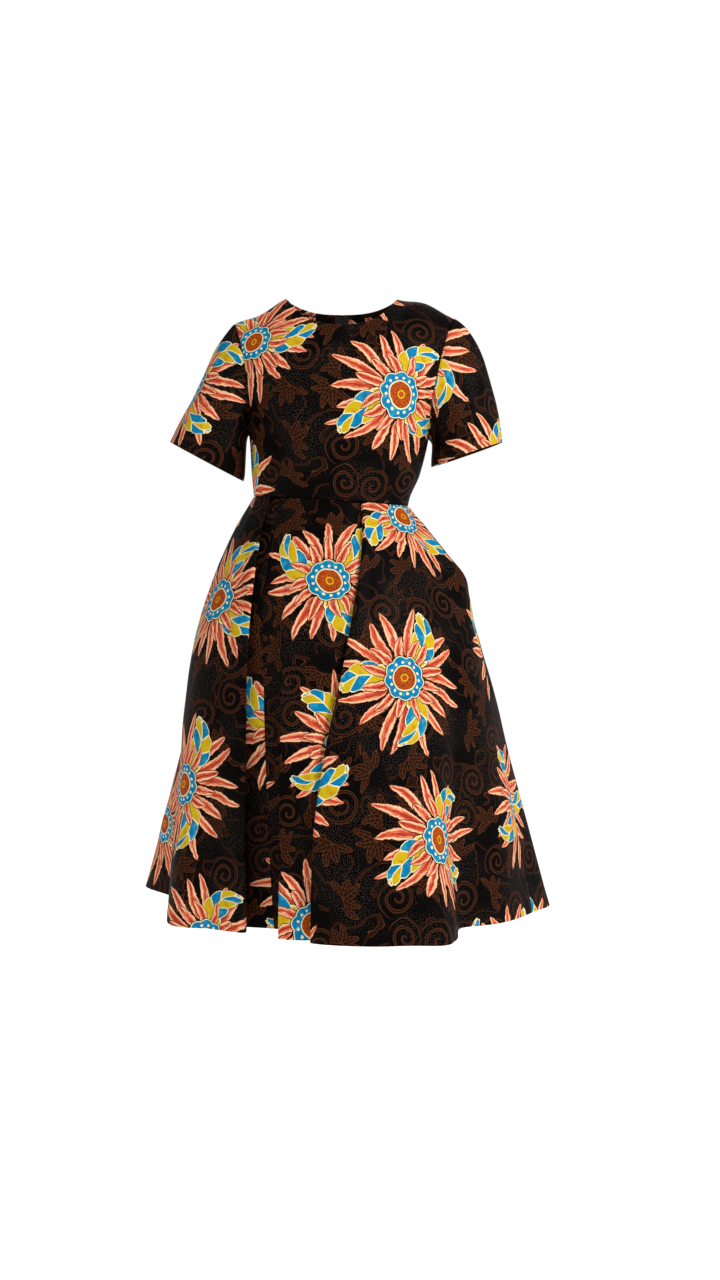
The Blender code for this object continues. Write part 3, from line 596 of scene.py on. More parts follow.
points = bodice_grid(-1, 1, FRONT_COLUMNS, True)
sew_piece("bodice_front", points, BODICE_EDGES, FRONT_CREASES, seed=1)
for name, start, end in (("bodice_back_left", 1, 0), ("bodice_back_right", 0, -1)):
    points = draw_back(bodice_grid(start, end, BACK_COLUMNS, False))
    sew_piece(name, points, BODICE_EDGES, BACK_CREASES, seed=2)

# %% [markdown]
# ## The sleeves
# Each sleeve is one piece, closed by a seam under the arm. Its upper edge follows the
# armhole and its lower edge is an oval. A bridge between two loops would run straight from
# one to the other. Here a cubic from each armhole point leaves outwards and arrives
# hanging down, which gives the rounded head of a set-in sleeve.

# %% Measurements of the sleeves
SLEEVE_COLUMNS = ("side", "outer_x", "outer_z", "inner_x", "inner_z", "head_push", "end_lean")
SLEEVES = (
    ("left", 0.275, -0.244, 0.153, -0.286, 0.190, 0.10),
    ("right", -0.294, -0.244, -0.168, -0.311, 0.085, 0.50),
)
SLEEVE_HALF_DEPTH = 0.074
SLEEVE_HEAD = (0.93, -0.36)    # direction in which the cloth leaves the armhole
SLEEVE_UNDERARM_PUSH = 0.035
SLEEVE_END_PULL = 0.10
SLEEVE_END_SLACK = 0.5         # share of the pull that is left at the underarm
SLEEVE_ROWS = 28
print("sleeves:", column(SLEEVES, SLEEVE_COLUMNS, "side"))

# %% The armhole edge and the sleeve's grid
BESIDE_EDGE = 0.97             # a place on the bodice just inside its edge
EDGE_STEP = 0.01


def armhole_edge(side, front):
    """One armhole edge from the shoulder down, drawn off the bodice by the seam gap."""
    found = []
    for up in ABOVE:
        point, normal = bodice_point(side, up, front)
        near = bodice_point(side * BESIDE_EDGE, up, front)[0]
        above = bodice_point(side, min(up + EDGE_STEP, 1.0), front)[0]
        below = bodice_point(side, max(up - EDGE_STEP, UNDERARM_UP), front)[0]
        outwards = (above - below).cross(normal).normalized()
        if outwards.dot(point - near) < 0:
            outwards.negate()
        found.append(point + outwards * SEAM_GAP)
    return found


def armhole_loop(side):
    """The whole armhole from the underarm point up the back, over and down the front."""
    front, back = armhole_edge(side, True), armhole_edge(side, False)
    top, bottom = (front[0] + back[0]) / 2, (front[-1] + back[-1]) / 2
    return np.array([bottom] + back[-2:0:-1] + [top] + front[1:-1] + [bottom])


def sleeve_grid(row):
    """Columns run round the arm, from the underarm seam back to it."""
    name, outer_x, outer_z, inner_x, inner_z, head_push, end_lean = row
    side = 1 if name == "left" else -1
    loop = armhole_loop(side)
    away = distance_in(loop)
    angle = (np.pi - 2 * np.pi * away / away[-1])[:, None]
    outer, inner = np.array([outer_x, 0, outer_z]), np.array([inner_x, 0, inner_z])
    hem = (outer + inner) / 2 + (outer - inner) / 2 * np.cos(angle)
    hem = hem + np.sin(angle) * np.array([0, SLEEVE_HALF_DEPTH, 0])
    top_share = (1 + np.cos(angle)) / 2
    head = np.array([side * SLEEVE_HEAD[0], 0, SLEEVE_HEAD[1]])
    leave = head * blend(SLEEVE_UNDERARM_PUSH, head_push, top_share)
    end = np.array([side * end_lean, 0, -1]) / math.hypot(end_lean, 1)
    arrive = end * SLEEVE_END_PULL * blend(SLEEVE_END_SLACK, 1.0, top_share)
    points = cubic(finer_ends(SLEEVE_ROWS)[:, None, None], loop, leave, hem, arrive)
    return draw_back(points if side < 0 else points[:, ::-1])


print(f"left armhole: {distance_in(armhole_loop(1))[-1]:.3f} m round")

# %% Creases of the sleeves, and the sleeve pieces
SLEEVE_CREASES = {
    "left": (
        (0.222, -0.080, 0.262, -0.214, -0.006, -2.9, 8),
        (0.194, -0.110, 0.222, -0.236, 0.006, -3.4, 9),
        (0.168, -0.190, 0.196, -0.262, 0.003, -2.3, 7),
        (0.200, -0.060, 0.240, -0.150, 0.004, 1.7, 8),
    ),
    "right": (
        (-0.224, -0.096, -0.270, -0.214, 0.007, -3.1, 8),
        (-0.196, -0.120, -0.232, -0.250, -0.006, -3.6, 9),
        (-0.172, -0.196, -0.196, -0.282, -0.004, -2.5, 7),
        (-0.206, -0.064, -0.250, -0.166, -0.004, 1.8, 8),
    ),
}
HEMMED = [(TOP, SEAM_ALLOWANCE), (LEFT, SEAM_ALLOWANCE), (RIGHT, SEAM_ALLOWANCE), (BOTTOM, HEM_DEPTH)]

for row in SLEEVES:
    sew_piece("sleeve_" + row[0], sleeve_grid(row), HEMMED, SLEEVE_CREASES[row[0]], seed=3)

# %% [markdown]
# ## The skirt
# The skirt is flared, pleated into the waist seam and open at the hem. Its front is joined
# from three widths with the seams hidden inside the pleats, and its back from two at the
# zip. Pleats could be folded from a flat panel with a simulation. Here each fold line is a
# row of a table, from the waist to the hem, and a fine grid through all of them turns
# under itself wherever the table turns back.

# %% Fold lines, from the wearer's right round the front and the back
# Turns are in degrees from the middle of the front, at the waist and at the hem. Lengths
# are in metres: a fold stands proud of the waist, reaches out from the middle at the hem
# and rises above the lowest hem. With a larger swing it turns sooner on its way down.
FOLD_COLUMNS = ("name", "waist_turn", "proud", "hem_turn", "reach", "rise", "swing")
FOLDS = (
    ("right_side_seam", -90.0, 0.0000, -94.0, 0.2860, 0.004, 2.0),
    ("right_front_crest", -76.0, 0.0000, -64.1, 0.3120, 0.000, 3.0),
    ("right_panel", -67.5, 0.0044, -52.9, 0.2735, 0.000, 4.5),
    ("first_pleat_edge", -57.0, 0.0046, -38.8, 0.2530, 0.000, 6.0),
    ("first_pleat_edge_back", -57.9, -0.0010, -39.7, 0.2430, 0.000, 6.0),
    ("first_pleat_under", -63.5, -0.0020, -48.0, 0.2390, 0.001, 6.0),
    ("first_pleat_under_back", -63.5, -0.0048, -48.0, 0.2300, 0.001, 6.0),
    ("recess_floor", -51.0, -0.0044, -33.0, 0.2060, 0.002, 5.0),
    ("recess_turn", -35.0, -0.0010, -23.4, 0.2160, 0.002, 3.2),
    ("recess_turn_back", -33.0, -0.0010, -22.2, 0.2260, 0.002, 3.2),
    ("second_pleat_edge", -27.0, 0.0000, -23.0, 0.2640, 0.000, 3.0),
    ("middle_panel", -2.0, 0.0000, -12.9, 0.2680, 0.000, 2.5),
    ("third_pleat_under", 35.5, -0.0050, 6.5, 0.2400, 0.001, 2.2),
    ("third_pleat_under_back", 35.5, -0.0024, 6.5, 0.2490, 0.001, 2.2),
    ("third_pleat_edge", 28.0, -0.0014, -10.3, 0.2740, 0.000, 2.2),
    ("third_pleat_edge_out", 28.0, 0.0036, -10.3, 0.2845, 0.000, 2.2),
    ("left_panel_start", 39.0, 0.0028, 7.3, 0.3136, 0.000, 2.0),
    ("left_panel", 48.0, 0.001, 19.4, 0.3240, 0.000, 2.0),
    ("flute_edge", 57.0, 0.000, 28.5, 0.3440, 0.000, 2.0),
    ("flute_wall", 62.0, 0.000, 34.5, 0.3200, 0.000, 2.0),
    ("flute_floor", 68.0, 0.000, 49.5, 0.2560, 0.001, 2.0),
    ("flute_rise", 77.0, 0.000, 64.0, 0.2900, 0.001, 2.0),
    ("left_side_seam", 90.0, 0.000, 86.0, 0.3290, 0.001, 2.0),
    ("left_back_crest", 98.0, 0.000, 98.6, 0.3680, 0.002, 2.0),
    ("left_back_valley", 108.0, 0.000, 112.0, 0.2980, 0.006, 2.0),
    ("second_back_crest", 119.0, 0.000, 126.0, 0.3460, 0.008, 2.0),
    ("second_back_valley", 132.0, 0.000, 140.0, 0.2740, 0.010, 2.0),
    ("third_back_crest", 145.0, 0.000, 153.0, 0.3300, 0.010, 2.0),
    ("third_back_valley", 160.0, 0.000, 166.0, 0.2840, 0.011, 2.0),
    ("centre_back_seam", 180.0, 0.000, 179.0, 0.3080, 0.012, 2.0),
    ("fourth_back_valley", 200.0, 0.000, 193.0, 0.2760, 0.012, 2.0),
    ("fourth_back_crest", 214.0, 0.000, 207.5, 0.3360, 0.013, 2.0),
    ("fifth_back_valley", 228.0, 0.000, 222.0, 0.2860, 0.014, 2.0),
    ("right_back_crest", 243.0, 0.000, 242.0, 0.4020, 0.015, 2.0),
    ("right_back_valley", 257.0, 0.000, 256.0, 0.3060, 0.010, 2.0),
    ("right_side_seam_again", 270.0, 0.000, 266.0, 0.286, 0.004, 2.0),
)
HEM_HEIGHT = -1.052
HEM_HALF_WIDTH = 0.335
HEM_FRONT = 0.285
HEM_BACK = 0.300
FOLD_DEEPENING = 1.8           # above 1, a fold deepens mostly near the hem
FOLD_NAMES = column(FOLDS, FOLD_COLUMNS, "name")
print("fold lines:", len(FOLDS), "of them", FOLD_NAMES.index("left_side_seam"), "in front")

# %% How the skirt spreads, and the pocket's mouth in its left side seam
# The hand keeps the pocket a little open: its two edges stand proud and turn apart.
SPREAD = (  # share of the way down, and of the way from the waist oval to the hem oval
    (0.00, 0.00),
    (0.10, 0.21),
    (0.20, 0.385),
    (0.33, 0.56),
    (0.45, 0.66),
    (0.70, 0.82),
    (1.00, 1.00),
)

POCKET_COLUMNS = ("down", "push", "front_turn", "back_turn")
POCKET = (
    (0.00, 0.000, 0.0, 0.0),
    (0.03, 0.003, 0.0, 0.0),
    (0.07, 0.009, 4.0, 5.0),
    (0.12, 0.017, 6.5, 9.0),
    (0.17, 0.026, 4.5, 6.5),
    (0.22, 0.017, 0.0, 0.0),
    (0.30, 0.004, 0.0, 0.0),
    (0.45, 0.000, 0.0, 0.0),
    (1.00, 0.000, 0.0, 0.0),
)
POCKET_WAIST_TURN = 90.0
POCKET_FADE = 16.0             # degrees round the waist over which the push fades out
POCKET_BACK_PUSH = (0.15, 0.22)

spread, = lookups(SPREAD, ("down", "spread"))
pocket_push, pocket_front_turn, pocket_back_turn = lookups(POCKET, POCKET_COLUMNS)
print(f"pocket: pushed out by up to {1000 * max(column(POCKET, POCKET_COLUMNS, 'push')):.0f} mm")


# %% A closed curve round the fold lines
# A fold line's place on the curve is the sum of the steps before it, and a step is the
# root of the way between two folds at the hem. Short ways then don't make the curve loop.
HEM = [reach * np.exp(1j * math.radians(turn)) for _, _, _, turn, reach, _, _ in FOLDS]
KNOTS = [0.0, *itertools.accumulate(math.sqrt(abs(b - a)) for a, b in itertools.pairwise(HEM))]
ROUND = len(KNOTS) - 1


def along_folds(name, at, closing_step=0.0, limited=False):
    """One column's value at a place round the skirt, with closing_step added each round."""
    values = column(FOLDS, FOLD_COLUMNS, name)
    at = at % KNOTS[-1]
    i = bisect.bisect_right(KNOTS, at) - 1

    def knot(k):
        return KNOTS[k % ROUND] + KNOTS[-1] * (k // ROUND)

    def value(k):
        return values[k % ROUND] + closing_step * (k // ROUND)

    def slope(k):
        early, late = knot(k) - knot(k - 1), knot(k + 1) - knot(k)
        before = (value(k) - value(k - 1)) / early
        after = (value(k + 1) - value(k)) / late
        return gentle(before, after) if limited else (before * late + after * early) / (early + late)

    width = knot(i + 1) - knot(i)
    return cubic((at - knot(i)) / width, value(i), width * slope(i), value(i + 1), width * slope(i + 1))


def skirt_line(at):
    """All the fold values at one place round the skirt."""
    turns = {name: along_folds(name, at, 360.0, limited=True) for name in ("waist_turn", "hem_turn")}
    return turns | {name: along_folds(name, at) for name in ("proud", "reach", "rise", "swing")}


def knot_of(name):
    return KNOTS[FOLD_NAMES.index(name)]


print(f"left side seam at {knot_of('left_side_seam'):.2f} of {KNOTS[-1]:.2f} round the skirt")


# %% A point on the skirt
def oval_radius(turn, half_width, front, back):
    s, c = math.sin(math.radians(turn)), math.cos(math.radians(turn))
    return 1 / math.sqrt((s / half_width) ** 2 + (c / (front if c > 0 else back)) ** 2)


def pocket_shift(line, down, pocket_edge):
    """Turn in degrees and push in metres that the open pocket gives one of its edges."""
    if not pocket_edge:
        return 0.0, 0.0
    fade = 1 - ease(abs(line["waist_turn"] - POCKET_WAIST_TURN) / POCKET_FADE)
    if pocket_edge < 0:
        return -pocket_front_turn(down) * fade, pocket_push(down) * fade
    begin, full = POCKET_BACK_PUSH
    return pocket_back_turn(down) * fade, pocket_push(down) * fade * ease((down - begin) / (full - begin))


def skirt_point(line, down, pocket_edge):
    """Point on a fold line, with down from 0 at the waist to 1 at the hem; pocket_edge is
    -1 in front of the wearer's left seam, 1 behind it and 0 elsewhere."""
    waist_radius = oval_radius(line["waist_turn"], form_half_width(WAIST_HEIGHT),
                               form_front(WAIST_HEIGHT), form_back(WAIST_HEIGHT))
    hem_radius = oval_radius(line["hem_turn"], HEM_HALF_WIDTH, HEM_FRONT, HEM_BACK)
    turn = blend(line["waist_turn"], line["hem_turn"], 1 - (1 - down) ** line["swing"])
    radius = blend(waist_radius, hem_radius, spread(down))
    radius += (line["reach"] - hem_radius) * down ** FOLD_DEEPENING
    radius += line["proud"] * (1 - down)
    more_turn, push = pocket_shift(line, down, pocket_edge)
    angle = math.radians(turn + more_turn)
    x, y = (radius + push) * math.sin(angle), -(radius + push) * math.cos(angle)
    top = waist_height(waist_radius * math.sin(math.radians(line["waist_turn"]))) - SEAM_GAP / 2
    z = blend(top, HEM_HEIGHT + line["rise"], down)
    return (x + form_shift(WAIST_HEIGHT) * (1 - down), y, z)


front = skirt_point(skirt_line(knot_of("middle_panel")), 1, 0)
print("hem at the middle of the front:", [round(float(v), 3) for v in front])

# %% Creases of the skirt
SKIRT_FRONT_CREASES = (
    (0.046, -0.430, 0.060, -0.700, 0.008, -4.2, 11),
    (0.050, -0.640, 0.040, -1.040, -0.010, -4.8, 16),
    (0.128, -0.560, 0.176, -1.000, 0.012, -6.7, 19),
    (0.090, -0.470, 0.112, -0.860, -0.010, 3.5, 17),
    (-0.012, -0.400, -0.022, -0.560, 0.005, -3.2, 9),
    (-0.052, -0.420, -0.066, -0.720, -0.006, -2.9, 12),
    (-0.040, -0.600, -0.036, -0.960, 0.008, 3.8, 15),
    (-0.150, -0.400, -0.196, -0.640, 0.010, -4.2, 12),
    (-0.206, -0.640, -0.232, -1.000, -0.008, -5.4, 18),
    (-0.118, -0.370, -0.134, -0.470, 0.003, -2.6, 7),
    (0.082, -0.360, 0.104, -0.450, -0.004, -3.2, 7),
    (0.118, -0.362, 0.150, -0.520, 0.006, -3.7, 8),
    (0.020, -0.356, 0.030, -0.440, 0.003, -2.2, 6),
    (0.212, -0.700, 0.250, -1.010, -0.008, -4.8, 16),
)
SKIRT_BACK_CREASES = (
    (0.040, -0.380, 0.062, -0.620, 0.006, -4.5, 12),
    (0.104, -0.400, 0.142, -0.700, -0.008, -5.1, 14),
    (-0.048, -0.380, -0.074, -0.660, -0.006, -4.8, 12),
    (-0.112, -0.400, -0.156, -0.680, 0.008, -4.2, 14),
    (0.030, -0.700, 0.040, -1.000, 0.008, -4.8, 17),
    (-0.020, -0.640, -0.034, -0.940, -0.008, 4.2, 16),
    (-0.196, -0.560, -0.250, -0.980, 0.010, -5.8, 18),
    (0.180, -0.560, 0.214, -0.960, -0.010, -5.4, 17),
    (0.076, -0.362, 0.090, -0.450, 0.003, -2.9, 7),
    (-0.086, -0.360, -0.104, -0.460, 0.003, -2.7, 7),
)
print("creases of the skirt:", len(SKIRT_FRONT_CREASES), "in front,", len(SKIRT_BACK_CREASES), "behind")

# %% Skirt pieces
PANELS = (  # name, first and last fold line, side of the pocket, columns of points
    ("skirt_front_right", "right_side_seam", "recess_floor", 0, 84),
    ("skirt_front_middle", "recess_floor", "third_pleat_under", 0, 70),
    ("skirt_front_left", "third_pleat_under", "left_side_seam", -1, 112),
    ("skirt_back_left", "left_side_seam", "centre_back_seam", 1, 118),
    ("skirt_back_right", "centre_back_seam", "right_side_seam_again", 0, 118),
)
SKIRT_ROWS = 92

for name, first, last, pocket_edge, count in PANELS:
    places = blend(knot_of(first), knot_of(last), finer_ends(count))
    lines = [skirt_line(min(at, KNOTS[-1] - 1e-6)) for at in places]
    points = np.array([[skirt_point(line, down, pocket_edge) for line in lines]
                       for down in finer_ends(SKIRT_ROWS)])
    creases = SKIRT_FRONT_CREASES if "front" in name else SKIRT_BACK_CREASES
    sew_piece(name, draw_back(points), HEMMED, creases, seed=4)

# %% [markdown]
# ## The pocket bag
# The pocket is let into the wearer's left side seam. Its mouth is sewn behind the seam's
# two open edges, and the bag lies flat and slants down towards the front of the thigh. It
# could be two flat pieces sewn round. One grid wound round the bag is simpler, because
# each row is then a closed ring, as in a loft.

# %% Measurements of the pocket bag
BAG = (  # tilt in degrees, middle (x, y, z), half length and half width of each ring
    (20.0, 0.150, -0.004, -0.450, 0.058, 0.021),
    (42.0, 0.138, -0.010, -0.482, 0.062, 0.018),
    (65.0, 0.130, -0.014, -0.520, 0.062, 0.016),
    (85.0, 0.127, -0.017, -0.562, 0.056, 0.013),
    (90.0, 0.126, -0.018, -0.596, 0.044, 0.009),
    (90.0, 0.125, -0.018, -0.614, 0.026, 0.005),
)
POCKET_MOUTH = (0.03, 0.22)    # from and to, as shares of the way down the skirt
POCKET_LAP = 0.008             # how far the mouth reaches behind the skirt's open edges
POCKET_BEHIND = 0.0018         # from the skirt's outer face to the bag's mouth
POCKET_START = 0.001           # how far in the bag begins
POCKET_HALF = 28               # steps along each half of the mouth
POCKET_ROWS = (4, 44)          # lines of points at the mouth and down the bag
NEARBY = 0.004                 # a small step, to find which way the cloth faces
print("bag:", len(BAG), "rings below the mouth")


# %% The mouth's edges and the bag's rings
def opening_edge(pocket_edge):
    """One edge of the side seam's opening, and the cloth's outward direction along it."""
    seam = knot_of("left_side_seam")
    before, line, after = (skirt_line(seam + step) for step in (-NEARBY, 0, NEARBY))
    found = []
    for down in np.linspace(*POCKET_MOUTH, POCKET_HALF + 1):
        behind, ahead = (np.array(skirt_point(beside, down, pocket_edge)) for beside in (before, after))
        above, below = (np.array(skirt_point(line, down + step, pocket_edge)) for step in (-NEARBY, NEARBY))
        way = np.cross(below - above, ahead - behind)
        found.append((skirt_point(line, down, pocket_edge), way / np.linalg.norm(way)))
    return np.array(found)


def mouth_rings():
    """Two rings behind the opening, whose columns run from its top down the front edge and
    up the back edge."""
    front, back = opening_edge(-1), opening_edge(1)
    upper, lower = (front[0] + back[0]) / 2, (front[-1] + back[-1]) / 2
    loop = np.concatenate([[upper], front[1:-1], [lower], back[-2:0:-1], [upper]])
    out = loop[:, 1]
    mouth = loop[:, 0] - out * POCKET_BEHIND
    away = mouth - mouth.mean(0)
    away -= out * (away * out).sum(-1, keepdims=True)
    away /= np.linalg.norm(away, axis=-1, keepdims=True)
    return [mouth + away * POCKET_LAP, mouth - away * POCKET_START]


def pocket_grid():
    rings = mouth_rings()
    angle = np.linspace(0, 2 * np.pi, 2 * POCKET_HALF + 1)[:, None]
    for tilt, x, y, z, half_length, half_width in BAG:
        lean = math.radians(tilt)
        along = np.array([-math.sin(lean), 0, math.cos(lean)]) * half_length
        rings.append(np.array([x, y, z]) + along * np.cos(angle)
                     - np.sin(angle) * np.array([0, half_width, 0]))
    flat = np.array(rings).reshape(len(rings), -1)
    mouth_steps, bag_steps = POCKET_ROWS
    fine = np.concatenate([np.linspace(0, 1, mouth_steps)[:-1], np.linspace(1, len(rings) - 1, bag_steps)])
    curves = [curve(list(range(len(rings))), list(values)) for values in flat.T]
    points = np.array([[follow(at) for follow in curves] for at in fine])
    return points.reshape(len(fine), -1, 3)[:, ::-1]


mouth = mouth_rings()[1]
print(f"pocket mouth: {mouth[:, 2].max() - mouth[:, 2].min():.3f} m high")

# %% Pocket piece
MIDDLE_ROW = 20
BAG_END = 0.004                # how far the bag's lower end is turned in

points = draw_back(pocket_grid())
ring = points[MIDDLE_ROW]
if (outward(points)[MIDDLE_ROW] * (ring - ring.mean(0))).sum() < 0:
    points = points[:, ::-1]
sew_piece("pocket_bag", points, [(BOTTOM, BAG_END)], (), seed=5)

# %% [markdown]
# ## One helper for all materials
# Shader nodes are added one at a time. One small function adds a node, sets it and links
# its inputs, so that a material reads from top to bottom like a recipe. Colours are
# given as they look on a screen, and one function turns them into Blender's linear light.

# %% Colours and nodes
def colour(hex_value):
    """sRGB hex to linear light."""
    parts = [int(hex_value[k:k + 2], 16) / 255 for k in (1, 3, 5)]
    return tuple(c / 12.92 if c <= 0.04045 else ((c + 0.055) / 1.055) ** 2.4 for c in parts) + (1.0,)


def node(tree, kind, *inputs, out=0, at=None, **settings):
    """Adds a node, fills its inputs in order or by place, and returns one output.

    kind is the node's name without ShaderNode, with its operation after a dot.
    """
    name, _, operation = kind.partition(".")
    made = tree.nodes.new("ShaderNode" + name)
    if operation:
        made.operation = operation
    for setting, value in settings.items():
        setattr(made, setting, value)
    for slot, value in [*enumerate(inputs), *(at or {}).items()]:
        if isinstance(value, bpy.types.NodeSocket):
            tree.links.new(value, made.inputs[slot])
        elif value is not None:
            made.inputs[slot].default_value = value
    return made.outputs[out]


def new_material(name):
    material = bpy.data.materials.new(name)
    material.use_nodes = True
    return material, material.node_tree, material.node_tree.nodes["Principled BSDF"]


print(f"middle grey: {colour('#808080')[0]:.3f} in linear light")

# %% [markdown]
# ## The print: motifs worked out on the flat cut
# Wax cloth is printed in a repeat, each ink over the last. A drawn image could hold the
# print, but it would blur close up. Here the motifs are rules: the place on the flat cut
# is turned into a distance and an angle from the nearest bloom's centre, and rings of
# petals, leaves and dots follow from those two numbers. A random number for each petal
# keeps any two from being the same.

# %% Inks, and printing one over another
INK = {
    "black": "#020101", "soot": "#060404", "brown": "#4f2916", "dark_brown": "#1e0e06",
    "coral": "#be482e", "salmon": "#d2805f", "blush": "#deb089", "red": "#8f2111",
    "cream": "#dccb99", "blue": "#056b96", "pale_blue": "#3093ab", "yellow": "#b89c17",
    "gold": "#a87611", "rust": "#a24414", "dark_rust": "#521c07", "dust": "#3c332c",
}
INK = {name: colour(value) for name, value in INK.items()}
CIRCLE = 2 * math.pi


def layered(tree, base, layers):
    """Prints each (mask, ink) over what is below it."""
    for mask, ink in layers:
        base = node(tree, "Mix", mask, at={6: base, 7: ink}, out=2, data_type="RGBA")
    return base


def between(tree, value, low, high):
    """1 where low < value < high, and 0 elsewhere."""
    above = node(tree, "Math.GREATER_THAN", value, low)
    return node(tree, "Math.MULTIPLY", above, node(tree, "Math.LESS_THAN", value, high))


def turn_of(tree, vector):
    """Direction of a vector on the flat cut, as a share of a circle."""
    x, y, _ = node(tree, "SeparateXYZ", vector).node.outputs
    return node(tree, "Math.DIVIDE", node(tree, "Math.ARCTAN2", y, x), CIRCLE)


print("inks:", ", ".join(INK))

# %% Where the blooms stand
REPEAT = (0.54, 0.56)     # metres of cloth before the print starts again
BLOOMS = (                # x and y in metres, then the turn in circles
    (0.00, 0.00, 0.10),
    (0.28, 0.10, 0.45),
    (0.05, 0.30, 0.70),
    (0.33, 0.39, 0.25),
)
FAR = 10.0                # further than any bloom


def nearest_bloom(tree, place):
    """Vector from the nearest bloom's centre, with that bloom's turn in Z, and its length."""
    best, vector = FAR, (0.0, 0.0, 0.0)
    span = (REPEAT[0] / 2, REPEAT[1] / 2, FAR / 2)
    for x, y, turn in BLOOMS:
        off = node(tree, "VectorMath.SUBTRACT", place, (x, y, -turn))
        off = node(tree, "VectorMath.WRAP", off, span, tuple(-s for s in span))
        flat = node(tree, "VectorMath.MULTIPLY", off, (1.0, 1.0, 0.0))
        distance = node(tree, "VectorMath.LENGTH", flat, out=1)
        nearer = node(tree, "Math.LESS_THAN", distance, best)
        vector = node(tree, "Mix", nearer, at={4: vector, 5: off}, out=1, data_type="VECTOR")
        best = node(tree, "Math.MINIMUM", distance, best)
    return vector, best


print(f"blooms: {len(BLOOMS)} in each {REPEAT[0]} x {REPEAT[1]} m of cloth")

# %% A ring of petals
# Each ring has a number of petals, which start and end at a distance from the centre.
# Swell sets the width: a petal's half width is 0.46 of it at the widest place. Uneven is
# the share by which the petals' lengths differ, and the seed picks their random numbers.
OUTER_PETALS = {"count": 18, "start": 0.036, "end": 0.128, "swell": 0.01674, "uneven": 0.34,
                "rim": 0.0012, "red": 0.75}
INNER_PETALS = {"count": 12, "start": 0.026, "end": 0.080, "swell": 0.01519, "uneven": 0.30,
                "rim": 0.0014, "red": 0.9, "turn": 0.03, "seed": 23.0}
LEAVES = {"count": 3, "start": 0.030, "end": 0.120, "swell": 0.04650, "uneven": 0.15,
          "turn": 0.09, "seed": 9.0, "steep": 44.0, "ribs": 3.4}
SMALL_FLOWER = {"count": 8, "start": 0.002, "end": 0.039, "swell": 0.01364, "uneven": 0.30,
                "seed": 40.0, "steep": 130.0, "ribs": 4.5}
PETAL_FOOT = 0.50         # powers: below 1, the petal is full near its foot and its tip
PETAL_TIP = 0.62
PETAL_BEND = 0.75
RIM_WAVES = 110.0         # for each metre, a hand-cut edge 9 mm from wave to wave
RIM_SIZE = 0.0030
TIP_CLOSING = 0.05        # metres of room lost for each petal's length past the tip


def shut_ends(tree, room, along):
    """Closes a petal at its tip, where the place along it passes 1."""
    return node(tree, "Math.MINIMUM", room, node(tree, "Math.MULTIPLY_ADD", along, -TIP_CLOSING, TIP_CLOSING))


def petal_ring(tree, distance, circle, ring, seed):
    """Room left inside the nearest petal in metres (below 0 outside), with the petal's
    random number, the place along it from 0 to 1 and the place across it in metres."""
    count, span = float(ring["count"]), ring["end"] - ring["start"]
    sector = node(tree, "Math.MULTIPLY", circle, count)
    number = node(tree, "Math.ROUND", sector)
    local = node(tree, "Math.SUBTRACT", sector, number)
    number = node(tree, "Math.FLOORED_MODULO", number, count)
    number = node(tree, "Math.ADD", number, seed)
    chance, other = node(tree, "TexWhiteNoise", None, number, noise_dimensions="1D").node.outputs
    shortest = (1 - ring["uneven"]) * span
    length = node(tree, "Math.MULTIPLY_ADD", chance, ring["uneven"] * span, shortest)
    along = node(tree, "Math.DIVIDE", node(tree, "Math.SUBTRACT", distance, ring["start"]), length)
    bend = node(tree, "Math.SUBTRACT", node(tree, "SeparateXYZ", other, out=1), 0.5)
    bend = node(tree, "Math.MULTIPLY", bend, node(tree, "Math.MULTIPLY", along, along))
    local = node(tree, "Math.MULTIPLY_ADD", bend, PETAL_BEND, local)
    across = node(tree, "Math.MULTIPLY", node(tree, "Math.MULTIPLY", local, distance), CIRCLE / count)
    foot = node(tree, "Math.POWER", node(tree, "Math.MAXIMUM", along, 0.0), PETAL_FOOT)
    tip = node(tree, "Math.SUBTRACT", 1.0, along, use_clamp=True)
    tip = node(tree, "Math.POWER", tip, PETAL_TIP)
    half = node(tree, "Math.MULTIPLY", node(tree, "Math.MULTIPLY", foot, tip), ring["swell"])
    room = node(tree, "Math.SUBTRACT", half, node(tree, "Math.ABSOLUTE", across))
    wave = node(tree, "Math.ADD", distance, number)
    wave = node(tree, "TexNoise", None, wave, RIM_WAVES, 1.0, noise_dimensions="1D")
    room = node(tree, "Math.MULTIPLY_ADD", node(tree, "Math.SUBTRACT", wave, 0.5), RIM_SIZE, room)
    return shut_ends(tree, room, along), chance, along, across


def ribs(tree, along, across, ring):
    """Ribs that slant off a midrib: their number, and 0 on each rib to 1 between two."""
    slant = node(tree, "Math.MULTIPLY", along, ring["ribs"])
    slant = node(tree, "Math.MULTIPLY_ADD", node(tree, "Math.ABSOLUTE", across), -ring["steep"], slant)
    wave = node(tree, "Math.SINE", node(tree, "Math.MULTIPLY", slant, math.pi))
    return slant, node(tree, "Math.ABSOLUTE", wave)


print("petals in a bloom:", OUTER_PETALS["count"], "outer and", INNER_PETALS["count"], "inner")

# %% [markdown]
# ## The dark ground
# Behind the blooms lies a quiet tone-on-tone pattern: curls, small pointed flowers and
# stems in two browns, and fine dots from the wax on near black. A Voronoi texture splits
# the cloth into cells of about 70 mm, and each cell gets one curl or one flower, so they
# never run into each other.

# %% Curls
CELLS_PER_METRE = 15.0
CELLS_RANDOM = 0.62
CURL = {"pitch": 0.0135, "start": 0.002, "end": 0.030, "thin": 0.06, "thick": 0.17, "rim": 0.035}


